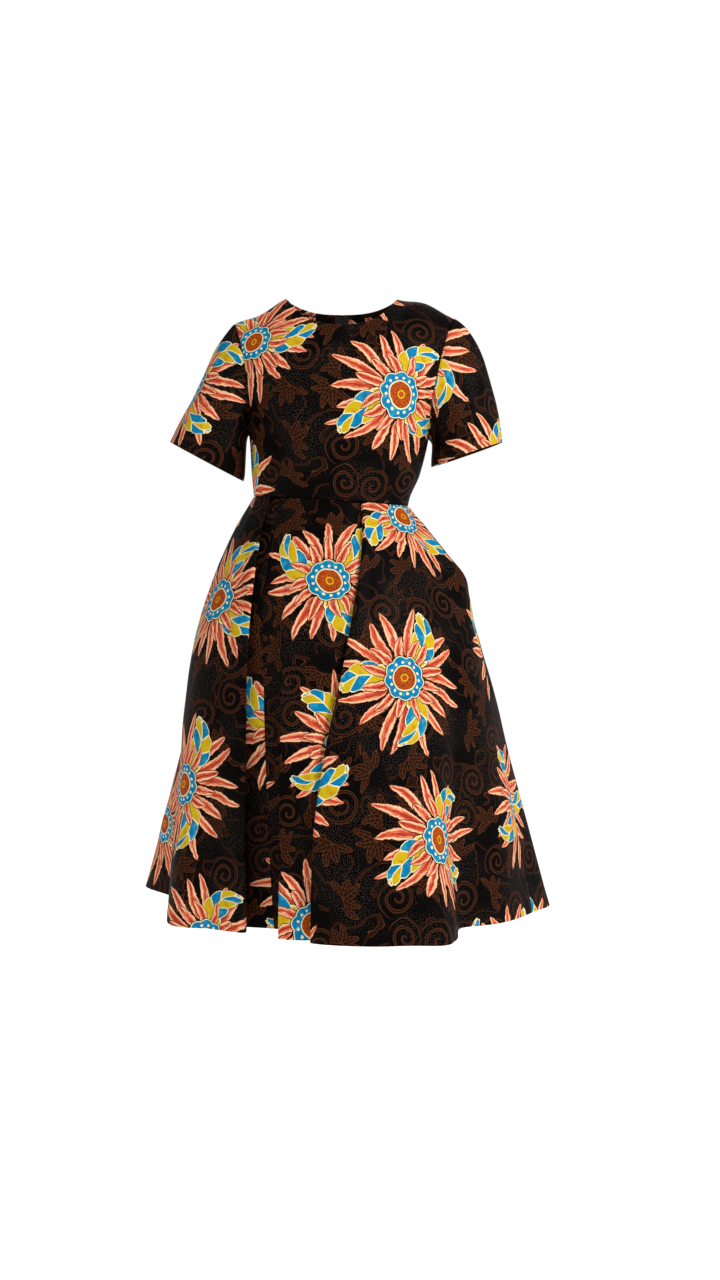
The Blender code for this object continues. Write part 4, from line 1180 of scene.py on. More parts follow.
def ground_cell(tree, place):
    """Distance and turn from the nearest cell's middle, and two random numbers of it."""
    cell = node(tree, "TexVoronoi", place, None, CELLS_PER_METRE, at={8: CELLS_RANDOM},
                voronoi_dimensions="2D").node
    local = node(tree, "VectorMath.SUBTRACT", place, cell.outputs["Position"])
    local = node(tree, "VectorMath.MULTIPLY", local, (1.0, 1.0, 0.0))
    chance, other, _ = node(tree, "SeparateXYZ", cell.outputs["Color"]).node.outputs
    circle = node(tree, "Math.ADD", turn_of(tree, local), other)
    return node(tree, "VectorMath.LENGTH", local, out=1), circle, chance, other


def curl_masks(tree, distance, circle, is_curl, other):
    """A spiral that swells as it unwinds, to the left or to the right, and its rim."""
    hand = node(tree, "Math.SIGN", node(tree, "Math.SUBTRACT", other, 0.5))
    turned = node(tree, "Math.MULTIPLY", circle, hand)
    wound = node(tree, "Math.MULTIPLY_ADD", distance, 1 / CURL["pitch"], turned)
    wound = node(tree, "Math.SUBTRACT", node(tree, "Math.FRACT", wound), 0.5)
    wound = node(tree, "Math.ABSOLUTE", wound)
    swell = node(tree, "MapRange", distance, 0.0, CURL["end"], CURL["thin"], CURL["thick"])
    here = node(tree, "Math.MULTIPLY", is_curl, between(tree, distance, CURL["start"], CURL["end"]))
    rim = node(tree, "Math.ABSOLUTE", node(tree, "Math.SUBTRACT", wound, swell))
    rim = node(tree, "Math.LESS_THAN", rim, CURL["rim"])
    curl = node(tree, "Math.LESS_THAN", wound, swell)
    return node(tree, "Math.MULTIPLY", curl, here), node(tree, "Math.MULTIPLY", rim, here)


print(f"cells: {1000 / CELLS_PER_METRE:.0f} mm apart")

# %% Small flowers, stems and dots
FLOWER_FAN = 2.5          # a flower has its petals from this one on, which leaves it a fan
FLOWER_LINE = (-0.0001, 0.0011)
FLOWER_VEIN = 0.17
MIDRIB_HALF = 0.0005
STEM_NOISE = (9.0, 2.0, 0.45)    # scale, detail and roughness
STEM_EVERY = 0.05         # of the noise's height
STEM_HALF = 0.0060
STEM_RIM = (0.0046, 0.0062)
STEM_CLEAR = 0.030        # stems stay this far from the middle of a cell
DOTS_PER_METRE = 300.0    # drawn 3.3 mm apart, twice the real spacing, so that they show
DOT_SIZE = 0.19
DOTS_RANDOM = 0.7
DOTS_FADE = (0.42, 0.56, 0.15, 1.0)   # from and to of the clouds, and of the dots' strength
CLOUDS = (11.0, 2.0, 0.5)        # scale, detail and roughness


def flower_masks(tree, distance, circle, is_flower):
    """A fan of pointed petals, and its outlines and veins."""
    count = float(SMALL_FLOWER["count"])
    sector = node(tree, "Math.ROUND", node(tree, "Math.MULTIPLY", circle, count))
    fan = node(tree, "Math.GREATER_THAN", node(tree, "Math.FLOORED_MODULO", sector, count), FLOWER_FAN)
    is_flower = node(tree, "Math.MULTIPLY", is_flower, fan)
    room, _, along, across = petal_ring(tree, distance, circle, SMALL_FLOWER, SMALL_FLOWER["seed"])
    filled = node(tree, "Math.MULTIPLY", node(tree, "Math.GREATER_THAN", room, 0.0), is_flower)
    outline = node(tree, "Math.MULTIPLY", between(tree, room, *FLOWER_LINE), is_flower)
    _, between_ribs = ribs(tree, along, across, SMALL_FLOWER)
    midrib = node(tree, "Math.LESS_THAN", node(tree, "Math.ABSOLUTE", across), MIDRIB_HALF)
    vein = node(tree, "Math.LESS_THAN", between_ribs, FLOWER_VEIN)
    vein = node(tree, "Math.MULTIPLY", node(tree, "Math.MAXIMUM", vein, midrib), filled)
    return filled, node(tree, "Math.MAXIMUM", outline, vein)


def stem_masks(tree, place, distance):
    """Stems follow the levels of a soft noise, as contour lines do on a map."""
    wander = node(tree, "TexNoise", place, None, *STEM_NOISE)
    band = node(tree, "Math.PINGPONG", wander, STEM_EVERY)
    away = node(tree, "Math.GREATER_THAN", distance, STEM_CLEAR)
    stem = node(tree, "Math.MULTIPLY", node(tree, "Math.LESS_THAN", band, STEM_HALF), away)
    return stem, node(tree, "Math.MULTIPLY", between(tree, band, *STEM_RIM), away)


def print_ground(tree, place):
    distance, circle, chance, other = ground_cell(tree, place)
    is_curl = node(tree, "Math.GREATER_THAN", chance, 0.5)
    curl, curl_rim = curl_masks(tree, distance, circle, is_curl, other)
    is_flower = node(tree, "Math.SUBTRACT", 1.0, is_curl)
    flower, flower_lines = flower_masks(tree, distance, circle, is_flower)
    stem, stem_rim = stem_masks(tree, place, distance)
    clouds = node(tree, "TexNoise", place, None, *CLOUDS)
    dots = node(tree, "TexVoronoi", place, None, DOTS_PER_METRE, at={8: DOTS_RANDOM}, voronoi_dimensions="2D")
    dots = node(tree, "Math.LESS_THAN", dots, DOT_SIZE)
    dots = node(tree, "Math.MULTIPLY", dots, node(tree, "MapRange", clouds, *DOTS_FADE))
    layers = [(clouds, INK["soot"]), (dots, INK["dust"])]
    for shape, lines in ((stem, stem_rim), (curl, curl_rim), (flower, flower_lines)):
        layers += [(shape, INK["dark_brown"]), (lines, INK["brown"])]
    return layered(tree, INK["black"], layers)


print(f"dots: {1000 / DOTS_PER_METRE:.1f} mm apart")

# %% [markdown]
# ## The blooms
# Each bloom is printed in the order of a real print: the outer petals first, then three
# leaves striped in blue and yellow, the inner petals over them, and last a beaded blue
# ring with a rust heart. Every shape gets a darker or paler rim by printing it twice,
# the rim's ink where a little less room is left and the inner ink where there is more.

# %% Petals
HATCH = {"across": 430.0, "along": 3.0, "seed": 40.0, "strength": 1.9}   # lines 2.3 mm wide
FOOT_SHADE = (0.55, 0.0, 0.0, 0.32)   # a petal is darker towards its foot
PETAL_INKS = (            # where an ink begins and is full, from rim 0 to middle 1, and its share
    ("salmon", 0.25, 0.55, 1.0),
    ("coral", 0.48, 0.62, 0.95),
)
RED_RANGE = (0.80, 0.96)
PALE_LINES = (0.64, 0.69, 0.0, 0.7)   # the hatching's palest lines


def petal_colour(tree, petal, red):
    """Salmon petals, paler at the rim, hatched with coral and red along their middle."""
    room, chance, along, across = petal
    lines = node(tree, "CombineXYZ", node(tree, "Math.MULTIPLY", across, HATCH["across"]),
                 node(tree, "Math.MULTIPLY", along, HATCH["along"]),
                 node(tree, "Math.MULTIPLY", chance, HATCH["seed"]))
    hatch = node(tree, "TexNoise", lines, None, 1.0, 2.0, 0.6)
    full = node(tree, "Math.ADD", node(tree, "Math.ABSOLUTE", across), room)
    core = node(tree, "Math.DIVIDE", room, full, use_clamp=True)
    core = node(tree, "Math.MULTIPLY_ADD", node(tree, "Math.SUBTRACT", hatch, 0.5), HATCH["strength"], core)
    core = node(tree, "Math.ADD", core, node(tree, "MapRange", along, *FOOT_SHADE))
    inks = [(node(tree, "MapRange", core, begin, end, 0.0, share), INK[ink])
            for ink, begin, end, share in (*PETAL_INKS, ("red", *RED_RANGE, red))]
    return layered(tree, INK["blush"], [*inks, (node(tree, "MapRange", hatch, *PALE_LINES), INK["blush"])])


def petal_layers(tree, distance, circle, ring, seed):
    petal = petal_ring(tree, distance, circle, ring, seed)
    return [(node(tree, "Math.GREATER_THAN", petal[0], -ring["rim"]), INK["dark_rust"]),
            (node(tree, "Math.GREATER_THAN", petal[0], 0.0), petal_colour(tree, petal, ring["red"]))]


print(f"hatching: {1000 / HATCH['across']:.1f} mm wide")

# %% Leaves and heart
LEAF_VEIN = 0.16
LEAF_MIDRIB_HALF = 0.0009
LEAF_LOBE = 0.0034
LEAF_EDGE = 0.0010             # black outside the leaf
LEAF_RIM = 0.0016              # cream inside it
SCALLOPS = 9
SCALLOP_DEPTH = 0.004
SCALLOP_RADII = (("black", 0.0335), ("cream", 0.0320), ("blue", 0.0304))
BEADS = 14.0
BEAD_RING = 0.0250
BEAD_RADIUS = 0.0023
HEART_RADIUS = 0.0185
HEART_RIM = 0.0205
CENTRE_RADII = (("yellow", 0.0062), ("rust", 0.0042))
HEART_HATCH = (420.0, 1.0, 0.4)  # scale, detail and roughness
HATCHED_ABOVE = 0.58


def leaf_layers(tree, distance, circle, blue, yellow):
    """Leaves with lobes between their ribs, each lobe in blue or yellow, edged in cream."""
    room, _, along, across = petal_ring(tree, distance, circle, LEAVES, LEAVES["seed"])
    slant, lobe = ribs(tree, along, across, LEAVES)
    room = shut_ends(tree, node(tree, "Math.MULTIPLY_ADD", lobe, LEAF_LOBE, room), along)
    side = node(tree, "Math.GREATER_THAN", across, 0.0)
    stripe = node(tree, "Math.FLOORED_MODULO", node(tree, "Math.FLOOR", slant), 2.0)
    stripe = node(tree, "Math.ABSOLUTE", node(tree, "Math.SUBTRACT", stripe, side))
    midrib = node(tree, "Math.LESS_THAN", node(tree, "Math.ABSOLUTE", across), LEAF_MIDRIB_HALF)
    vein = node(tree, "Math.MAXIMUM", node(tree, "Math.LESS_THAN", lobe, LEAF_VEIN), midrib)
    inside = layered(tree, blue, ((stripe, yellow), (vein, INK["cream"])))
    return [(node(tree, "Math.GREATER_THAN", room, -LEAF_EDGE), INK["black"]),
            (node(tree, "Math.GREATER_THAN", room, 0.0), INK["cream"]),
            (node(tree, "Math.GREATER_THAN", room, LEAF_RIM), inside)]


def bead_mask(tree, distance, circle):
    beads = node(tree, "Math.MULTIPLY", circle, BEADS)
    beads = node(tree, "Math.SUBTRACT", beads, node(tree, "Math.ROUND", beads))
    beads = node(tree, "Math.MULTIPLY", node(tree, "Math.MULTIPLY", beads, distance), CIRCLE / BEADS)
    height = node(tree, "Math.SUBTRACT", distance, BEAD_RING)
    squared = node(tree, "Math.MULTIPLY", beads, beads)
    squared = node(tree, "Math.MULTIPLY_ADD", height, height, squared)
    return node(tree, "Math.LESS_THAN", squared, BEAD_RADIUS ** 2)


def heart_layers(tree, place, distance, circle, blue):
    """A scalloped blue ring with cream beads round a hatched rust heart."""
    scallop = node(tree, "Math.SINE", node(tree, "Math.MULTIPLY", circle, SCALLOPS * math.pi))
    edge = node(tree, "Math.MULTIPLY_ADD", node(tree, "Math.ABSOLUTE", scallop), -SCALLOP_DEPTH, distance)
    hatch = node(tree, "TexNoise", place, None, *HEART_HATCH)
    hatch = node(tree, "Math.GREATER_THAN", hatch, HATCHED_ABOVE)
    heart = layered(tree, INK["rust"], [(hatch, INK["dark_rust"])])
    inks = INK | {"blue": blue}
    return ([(node(tree, "Math.LESS_THAN", edge, radius), inks[ink]) for ink, radius in SCALLOP_RADII]
            + [(between(tree, distance, HEART_RADIUS, HEART_RIM), INK["cream"]),
               (bead_mask(tree, distance, circle), INK["cream"]),
               (node(tree, "Math.LESS_THAN", distance, HEART_RADIUS), heart)]
            + [(node(tree, "Math.LESS_THAN", distance, radius), INK[ink]) for ink, radius in CENTRE_RADII])


print("beads in a ring:", int(BEADS))


# %% A whole bloom
SHADES = (90.0, 2.0, 0.5)        # scale, detail and roughness of the paler and darker strokes
SHADE_RANGE = (0.5, 0.75, 0.0, 1.0)


def print_blooms(tree, place, ground):
    vector, distance = nearest_bloom(tree, place)
    turn = node(tree, "SeparateXYZ", vector, out=2)
    circle = node(tree, "Math.ADD", turn_of(tree, vector), turn)
    shade = node(tree, "MapRange", node(tree, "TexNoise", place, None, *SHADES), *SHADE_RANGE)
    blue = layered(tree, INK["blue"], [(shade, INK["pale_blue"])])
    yellow = layered(tree, INK["yellow"], [(shade, INK["gold"])])
    leaf_circle = node(tree, "Math.ADD", circle, LEAVES["turn"])
    inner_circle = node(tree, "Math.ADD", circle, INNER_PETALS["turn"])
    return layered(tree, ground, (
        petal_layers(tree, distance, circle, OUTER_PETALS, turn)
        + leaf_layers(tree, distance, leaf_circle, blue, yellow)
        + petal_layers(tree, distance, inner_circle, INNER_PETALS, INNER_PETALS["seed"])
        + heart_layers(tree, place, distance, circle, blue)))


print("leaves in a bloom:", LEAVES["count"])

# %% [markdown]
# ## The cloth's own surface
# The cloth is plain-weave cotton, printed by wax resist and then smoothed under heated
# rollers. The ink soaks into the threads, so the cloth has almost no film that shines,
# and black stays deep. Warp and weft are two sine waves across each other with uneven
# threads, as a bump that is far too fine to model. The outlines of the print wander a
# little, because melted wax runs.

# %% Waxed cotton
THREAD_EVERY = 0.0011     # drawn three times coarser than the real 0.35 mm, so that it shows
WEAVE_DEPTH = 0.00012
WEAVE_SHARE = 0.35        # of the height, beside the uneven threads
SLUBS = (60.0, 700.0, 1.0)       # uneven threads for each metre across and along
ROUGHNESS = (0.3, 0.7, 0.46, 0.60)    # from and to of the threads' height, and of the roughness
RAGGED = {"waves": 70.0, "size": 0.0032}
WANDER = {"waves": 11.0, "size": 0.022}


def moved_about(tree, place, start, waves, detail, size):
    """The place on the cut, shifted to and fro by a noise read at start."""
    shift = node(tree, "TexNoise", start, None, waves, detail, 0.5, out=1)
    shift = node(tree, "VectorMath.SUBTRACT", shift, (0.5, 0.5, 0.5))
    return node(tree, "VectorMath.MULTIPLY_ADD", shift, (size, size, 0.0), place)


def waxed_cotton():
    material, tree, shader = new_material("waxed_printed_cotton")
    place = node(tree, "UVMap", uv_map="cut")
    drawn = moved_about(tree, place, place, WANDER["waves"], 1.0, WANDER["size"])
    drawn = moved_about(tree, drawn, place, RAGGED["waves"], 2.0, RAGGED["size"])
    print_colour = print_blooms(tree, drawn, print_ground(tree, drawn))
    tree.links.new(print_colour, shader.inputs["Base Color"])
    threads = node(tree, "VectorMath.SCALE", place, at={3: CIRCLE / THREAD_EVERY})
    x, y, _ = node(tree, "SeparateXYZ", threads).node.outputs
    weave = node(tree, "Math.MULTIPLY", node(tree, "Math.SINE", x), node(tree, "Math.SINE", y))
    slub = node(tree, "VectorMath.MULTIPLY", place, SLUBS)
    slub = node(tree, "TexNoise", slub, None, 1.0, 2.0)
    height = node(tree, "Math.MULTIPLY_ADD", weave, WEAVE_SHARE, slub)
    bump = node(tree, "Bump", 0.30, WEAVE_DEPTH, at={"Height": height})
    tree.links.new(bump, shader.inputs["Normal"])
    rough = node(tree, "MapRange", slub, *ROUGHNESS)
    tree.links.new(rough, shader.inputs["Roughness"])
    shader.inputs["Specular IOR Level"].default_value = 0.02
    print("print:", len(tree.nodes), "nodes")
    return material


COTTON = waxed_cotton()
for piece in PIECES.values():
    piece.data.materials.append(COTTON)

# %% [markdown]
# ## The zip
# The back opening has a concealed zip: two tapes are sewn behind the seam's edges, and
# nylon coils on them are closed into each other. Only the slider and its tab show, at the
# top of the back. An array of teeth would do for a moulded zip. A coil zip is two helices
# of thin wire, and a curve with a bevel gives just that.

# %% Line of the zip, from the neck down
SEAM_TOP = 0.995               # share of the way up the bodice where the zip begins
ZIP_SKIRT = (0.012, 0.22)      # from and to, as shares of the way down the skirt
ZIP_POINTS = (90, 36)          # on the bodice and on the skirt


def centre_back(up):
    point, normal = bodice_point(1e-6, up, False)
    return Vector((form_shift(point.z), point.y, point.z)), Vector((0, normal.y, normal.z)).normalized()


def zip_line():
    """Places and outward directions down the centre-back seam."""
    found = [centre_back(up) for up in np.linspace(SEAM_TOP, 0.0, ZIP_POINTS[0])]
    line = skirt_line(knot_of("centre_back_seam"))
    for down in np.linspace(*ZIP_SKIRT, ZIP_POINTS[1]):
        here, above, below = (Vector(skirt_point(line, down + step, 0)) for step in (0, -NEARBY, NEARBY))
        fall = below - above
        found.append((here, Vector((0, -fall.z, fall.y)).normalized()))
    return np.array([place for place, _ in found]), np.array([way for _, way in found])


ZIP_PLACES, ZIP_OUT = zip_line()
ZIP_AWAY = distance_in(ZIP_PLACES)
print(f"zip: {ZIP_AWAY[-1]:.3f} m")


def on_zip(away, across, depth):
    """Point on the zip: metres down it, to the wearer's left of it and behind the cloth."""
    way = on_path(away, ZIP_AWAY, ZIP_OUT)
    return on_path(away, ZIP_AWAY, ZIP_PLACES) - way / np.linalg.norm(way) * depth + np.array([across, 0, 0])


# %% Tapes
TAPE = {"half_width": 0.012, "inner": 0.0012, "depth": 0.0023, "curl": 0.0007, "thickness": 0.0005,
        "columns": 6, "rows": 150}


def zip_tape(name, side):
    across = np.linspace(TAPE["half_width"], TAPE["inner"], TAPE["columns"]) * side
    across = across if side > 0 else across[::-1]
    bend = TAPE["curl"] * (np.abs(across) / TAPE["half_width"]) ** 2
    down = np.linspace(0, ZIP_AWAY[-1], TAPE["rows"])
    points = np.array([[on_zip(a, x, TAPE["depth"] + b) for x, b in zip(across, bend)] for a in down])
    piece = lay_grid(name, points)
    thicken(piece, TAPE["thickness"])
    bpy.ops.object.shade_smooth_by_angle(angle=math.radians(40))
    return piece


TAPES = [zip_tape("zip_tape_left", 1), zip_tape("zip_tape_right", -1)]
print("tape:", len(TAPES[0].data.polygons), "faces")

# %% Coils
COIL = {"pitch": 0.0015, "half_width": 0.00075, "half_depth": 0.00055, "wire": 0.00024,
        "across": 0.00055, "depth": 0.0029, "top": 0.002, "foot": 0.004, "points": 7}
COIL_START = {1: 0.25, -1: 0.75}   # half a turn apart, so that the coils close into each other


def add_object(name, data):
    piece = bpy.data.objects.new(name, data)
    bpy.context.collection.objects.link(piece)
    select_only(piece)
    return piece


def add_line(data, points, closed=False):
    """Adds one straight-sided line to a curve's data."""
    line = data.splines.new("POLY")
    line.points.add(len(points) - 1)
    line.use_cyclic_u = closed
    for point, place in zip(line.points, points):
        point.co = (*place, 1)


def zip_coil(name, side):
    points = []
    for away in np.arange(0, ZIP_AWAY[-1] - COIL["foot"], COIL["pitch"] / COIL["points"]):
        angle = CIRCLE * (away / COIL["pitch"] + COIL_START[side])
        across = side * (COIL["across"] + COIL["half_width"] * math.cos(angle))
        depth = COIL["depth"] + COIL["half_depth"] * math.sin(angle)
        points.append(on_zip(away + COIL["top"], across, depth))
    wire = bpy.data.curves.new(name, "CURVE")
    wire.dimensions = "3D"
    wire.bevel_depth = COIL["wire"]
    wire.bevel_resolution = 0
    wire.use_fill_caps = True
    add_line(wire, points)
    add_object(name, wire)
    bpy.ops.object.convert(target="MESH")
    bpy.ops.object.shade_smooth()
    return bpy.context.object


COILS = [zip_coil("zip_coil_left", 1), zip_coil("zip_coil_right", -1)]
print("coil turns:", round(ZIP_AWAY[-1] / COIL["pitch"]), "on each tape")

# %% [markdown]
# ## Finishes of the zip and the thread
# All four are black on the real dress, and only their surfaces tell them apart: ribbed
# and matt tape, smooth and slightly glossy nylon, semi-gloss enamel with a faint orange
# peel, and twisted thread. Each is a dark colour that varies a little and a roughness;
# the tape and the enamel also have a fine bump. They read Object coordinates, because none
# of them follows a flat cut.

# %% Tape and coil
TAPE_RIBS = 640.0              # the wave texture's scale, for ribs 0.5 mm apart


def woven_tape():
    """Narrow woven polyester, dyed black: matt, with fine ribs across it."""
    material, tree, shader = new_material("woven_polyester_tape")
    place = node(tree, "TexCoord", out=3)
    ribbing = node(tree, "TexWave", place, TAPE_RIBS, 0.6, 1.0, out=1, bands_direction="Z")
    shade = layered(tree, colour("#0c0b0b"), [(ribbing, colour("#1b1a1a"))])
    tree.links.new(shade, shader.inputs["Base Color"])
    tree.links.new(node(tree, "Bump", 0.4, 0.0001, at={"Height": ribbing}), shader.inputs["Normal"])
    shader.inputs["Roughness"].default_value = 0.75
    return material


def nylon_coil():
    """Monofilament nylon, dyed black: smooth and a little glossy."""
    material, tree, shader = new_material("nylon_coil")
    worn = node(tree, "TexNoise", node(tree, "TexCoord", out=3), None, 900.0, 2.0)
    shade = layered(tree, colour("#0f0e0e"), [(worn, colour("#242222"))])
    tree.links.new(shade, shader.inputs["Base Color"])
    shader.inputs["Roughness"].default_value = 0.35
    return material


TAPE_CLOTH, NYLON = woven_tape(), nylon_coil()
for piece in TAPES:
    piece.data.materials.append(TAPE_CLOTH)
for piece in COILS:
    piece.data.materials.append(NYLON)
print("zip strip:", TAPE_CLOTH.name, "and", NYLON.name)


# %% Enamel and thread
ORANGE_PEEL = (2600.0, 2.0)    # scale and detail of each noise
WEAR = (700.0, 3.0)
WORN_SPOTS = (0.66, 0.74, 0.0, 0.5)   # from and to of the noise, and of the rubbed colour's share
TWIST = 1900.0                 # the wave texture's scale, for slanting ribs 0.2 mm apart


def enamelled_zinc():
    """Die-cast zinc under black stoving enamel, rubbed paler in small places."""
    material, tree, shader = new_material("black_enamel_on_zinc")
    place = node(tree, "TexCoord", out=3)
    peel = node(tree, "TexNoise", place, None, *ORANGE_PEEL)
    tree.links.new(node(tree, "Bump", 0.15, 0.00005, at={"Height": peel}), shader.inputs["Normal"])
    worn = node(tree, "MapRange", node(tree, "TexNoise", place, None, *WEAR), *WORN_SPOTS)
    shade = layered(tree, colour("#151313"), [(worn, colour("#3a3735"))])
    tree.links.new(shade, shader.inputs["Base Color"])
    shader.inputs["Roughness"].default_value = 0.32
    shader.inputs["Coat Weight"].default_value = 0.3
    return material


def sewing_thread():
    """Spun polyester thread, dyed black, with its twist as fine slanting ribs."""
    material, tree, shader = new_material("spun_sewing_thread")
    place = node(tree, "TexCoord", out=3)
    twist = node(tree, "TexWave", place, TWIST, 1.0, out=1, bands_direction="DIAGONAL")
    shade = layered(tree, colour("#100e0d"), [(twist, colour("#2b2724"))])
    tree.links.new(shade, shader.inputs["Base Color"])
    shader.inputs["Roughness"].default_value = 0.7
    return material


ENAMEL, THREAD = enamelled_zinc(), sewing_thread()
print("slider and tab:", ENAMEL.name)

# %% [markdown]
# ## Slider and pull tab
# The slider's body is a small block with drawn-in ends, and an arch over it carries the
# tab. Both are die-cast, so their edges are rounded. The arch is a small rectangle spun
# through half a turn. The tab hangs on the arch and turns about its bar, so it stays a
# mesh of its own.

# %% Sizes and place of the slider
SLIDER = {"up": 0.955, "standoff": 0.0006, "width": 0.0064, "thick": 0.0014, "length": 0.0110,
          "arch_half_length": 0.0034, "arch_width": 0.0018, "arch_wire": 0.0010}
SLIDER_ENDS = ((1, 0.62), (-1, 0.78))   # which end, and the share of its width left there
END_LENGTH = 0.0022
END_THICKNESS = 0.8
SLIDER_ROUNDING = 0.00022
ARCH_SUNK = 0.0002             # how far the arch's feet reach into the body
ARCH_STEPS = 14
seat, seat_out = centre_back(SLIDER["up"])
seat = seat + seat_out * SLIDER["standoff"]
SLIDER_PLACE = Matrix.Translation(seat) @ Matrix.Rotation(math.atan2(seat_out.z, seat_out.y), 4, "X")
print("slider at", [round(v, 4) for v in seat])


# %% The slider's body
def select_faces(piece, wanted):
    """Selects the faces whose centre and normal pass the test, in edit mode."""
    select_only(piece)
    bpy.ops.object.mode_set(mode="EDIT")
    bpy.ops.mesh.select_all(action="DESELECT")
    bpy.ops.mesh.select_mode(type="FACE")
    bpy.ops.object.mode_set(mode="OBJECT")
    for face in piece.data.polygons:
        face.select = bool(wanted(face.center, face.normal))
    bpy.ops.object.mode_set(mode="EDIT")


bpy.ops.object.select_all(action="DESELECT")
bpy.ops.mesh.primitive_cube_add(size=1, location=(0, SLIDER["thick"] / 2, 0))
slider = bpy.context.object
slider.name = slider.data.name = "zip_slider_body"
slider.scale = (SLIDER["width"], SLIDER["thick"], SLIDER["length"])
bpy.ops.object.transform_apply(location=True, rotation=False, scale=True)
for direction, share in SLIDER_ENDS:
    select_faces(slider, lambda centre, normal: normal.z * direction > 0.9)
    bpy.ops.mesh.inset(thickness=0.0)
    bpy.ops.transform.translate(value=(0, 0, -direction * END_LENGTH))
    bpy.ops.mesh.extrude_region_move(TRANSFORM_OT_translate={"value": (0, 0, direction * END_LENGTH)})
    bpy.ops.transform.resize(value=(share, END_THICKNESS, 1))
    bpy.ops.object.mode_set(mode="OBJECT")
print("slider body:", len(slider.data.polygons), "faces")

# %% The arch over it, spun from a small rectangle
def face_outwards(merge=True):
    """Merges the doubled points of the active mesh and turns its faces outwards."""
    bpy.ops.object.mode_set(mode="EDIT")
    bpy.ops.mesh.select_all(action="SELECT")
    if merge:
        bpy.ops.mesh.remove_doubles(threshold=1e-6)
    bpy.ops.mesh.normals_make_consistent(inside=False)
    bpy.ops.object.mode_set(mode="OBJECT")


bpy.ops.object.select_all(action="DESELECT")
bpy.ops.mesh.primitive_plane_add(size=1)
arch = bpy.context.object
arch.scale = (SLIDER["arch_width"], SLIDER["arch_wire"], 1)
bpy.ops.object.transform_apply(scale=True)
arch_from = Matrix.Translation((0, 0, SLIDER["arch_half_length"] - SLIDER["arch_wire"] / 2))
arch.data.transform(arch_from @ Matrix.Rotation(math.pi / 2, 4, "X"))
select_faces(arch, lambda centre, normal: True)
bpy.ops.mesh.spin(steps=ARCH_STEPS, angle=math.pi, center=(0, 0, 0), axis=(1, 0, 0))
face_outwards()
heights = [v.co.y for v in arch.data.vertices]
over = 1 if max(heights) > -min(heights) else -1
arch_to = Matrix.Translation((0, SLIDER["thick"] - ARCH_SUNK, 0))
arch.data.transform(arch_to @ Matrix.Diagonal((1, over, 1, 1)))
print("arch:", len(arch.data.polygons), "faces")

# %% The two joined and rounded
select_only(slider, arch)
bpy.ops.object.join()
slider = bpy.context.object
edges = slider.modifiers.new("rounded", "BEVEL")
edges.width = SLIDER_ROUNDING
edges.segments = 3
bpy.ops.object.modifier_apply(modifier=edges.name)
face_outwards(merge=False)
bpy.ops.object.shade_smooth_by_angle(angle=math.radians(40))
slider.data.transform(SLIDER_PLACE)
slider.data.materials.append(ENAMEL)
print("slider:", len(slider.data.polygons), "faces")

# %% Outline of the pull tab
TAB = {"bar": 0.0012, "over": 0.0006, "length": 0.0230, "half_width": 0.0034, "half_thick": 0.0006,
       "window_half": 0.0014, "window_top": -0.0006, "window_foot": -0.0048, "rounding": 0.0002}
HALF, FOOT = TAB["half_width"], TAB["over"] - TAB["length"]


def mirrored(side):
    """A closed outline from the corners of its right side, from the top down."""
    left = [(-x, y) for x, y in side]
    return left[:1] + side + left[:0:-1]


TAB_OUTLINES = (  # corners, and the radius that rounds them
    (mirrored([(0.76 * HALF, TAB["over"]), (0.80 * HALF, -0.0075), (HALF, -0.0150),
               (0.86 * HALF, FOOT)]), 0.0013),
    (mirrored([(TAB["window_half"], TAB["window_top"]), (TAB["window_half"], TAB["window_foot"])]), 0.0006),
    (mirrored([(0.40 * HALF, -0.0100), (0.52 * HALF, -0.0190)]), 0.0009),
)


def rounded(corners, radius, steps=5):
    """The same outline with each corner rounded."""
    found = []
    for k, corner in enumerate(corners):
        here, before, after = Vector(corner), Vector(corners[k - 1]), Vector(corners[(k + 1) % len(corners)])
        start = here + (before - here).normalized() * radius
        end = here + (after - here).normalized() * radius
        for t in np.linspace(0, 1, steps):
            found.append(start * (1 - t) ** 2 + here * 2 * t * (1 - t) + end * t * t)
    return found


print("outline:", len(rounded(*TAB_OUTLINES[0])), "points")

# %% Pull tab
shape = bpy.data.curves.new("zip_pull_tab", "CURVE")
shape.dimensions = "2D"
shape.fill_mode = "BOTH"
shape.extrude = TAB["half_thick"] - TAB["rounding"]
shape.bevel_depth = TAB["rounding"]
shape.bevel_resolution = 2
for corners, radius in TAB_OUTLINES:
    add_line(shape, [(*place, 0) for place in rounded(corners, radius)], closed=True)
add_object("zip_pull_tab", shape)
bpy.ops.object.convert(target="MESH")
tab = bpy.context.object
face_outwards()
bpy.ops.object.shade_smooth_by_angle(angle=math.radians(40))
hinge = Matrix.Translation((0, SLIDER["thick"] + TAB["bar"], 0))
tab.data.transform(SLIDER_PLACE @ hinge @ Matrix.Rotation(math.pi / 2, 4, "X"))
tab.data.materials.append(ENAMEL)
print("tab:", len(tab.data.polygons), "faces")

# %% [markdown]
# ## Stitches
# The hems and the neck edge are sewn on the inside, where the turned cloth ends. Stitches
# could be painted on as a bump, but they catch the light as threads do when they are
# real. One short rounded length of thread is modelled, and copied along each row into one
# mesh, which keeps hundreds of stitches cheap.

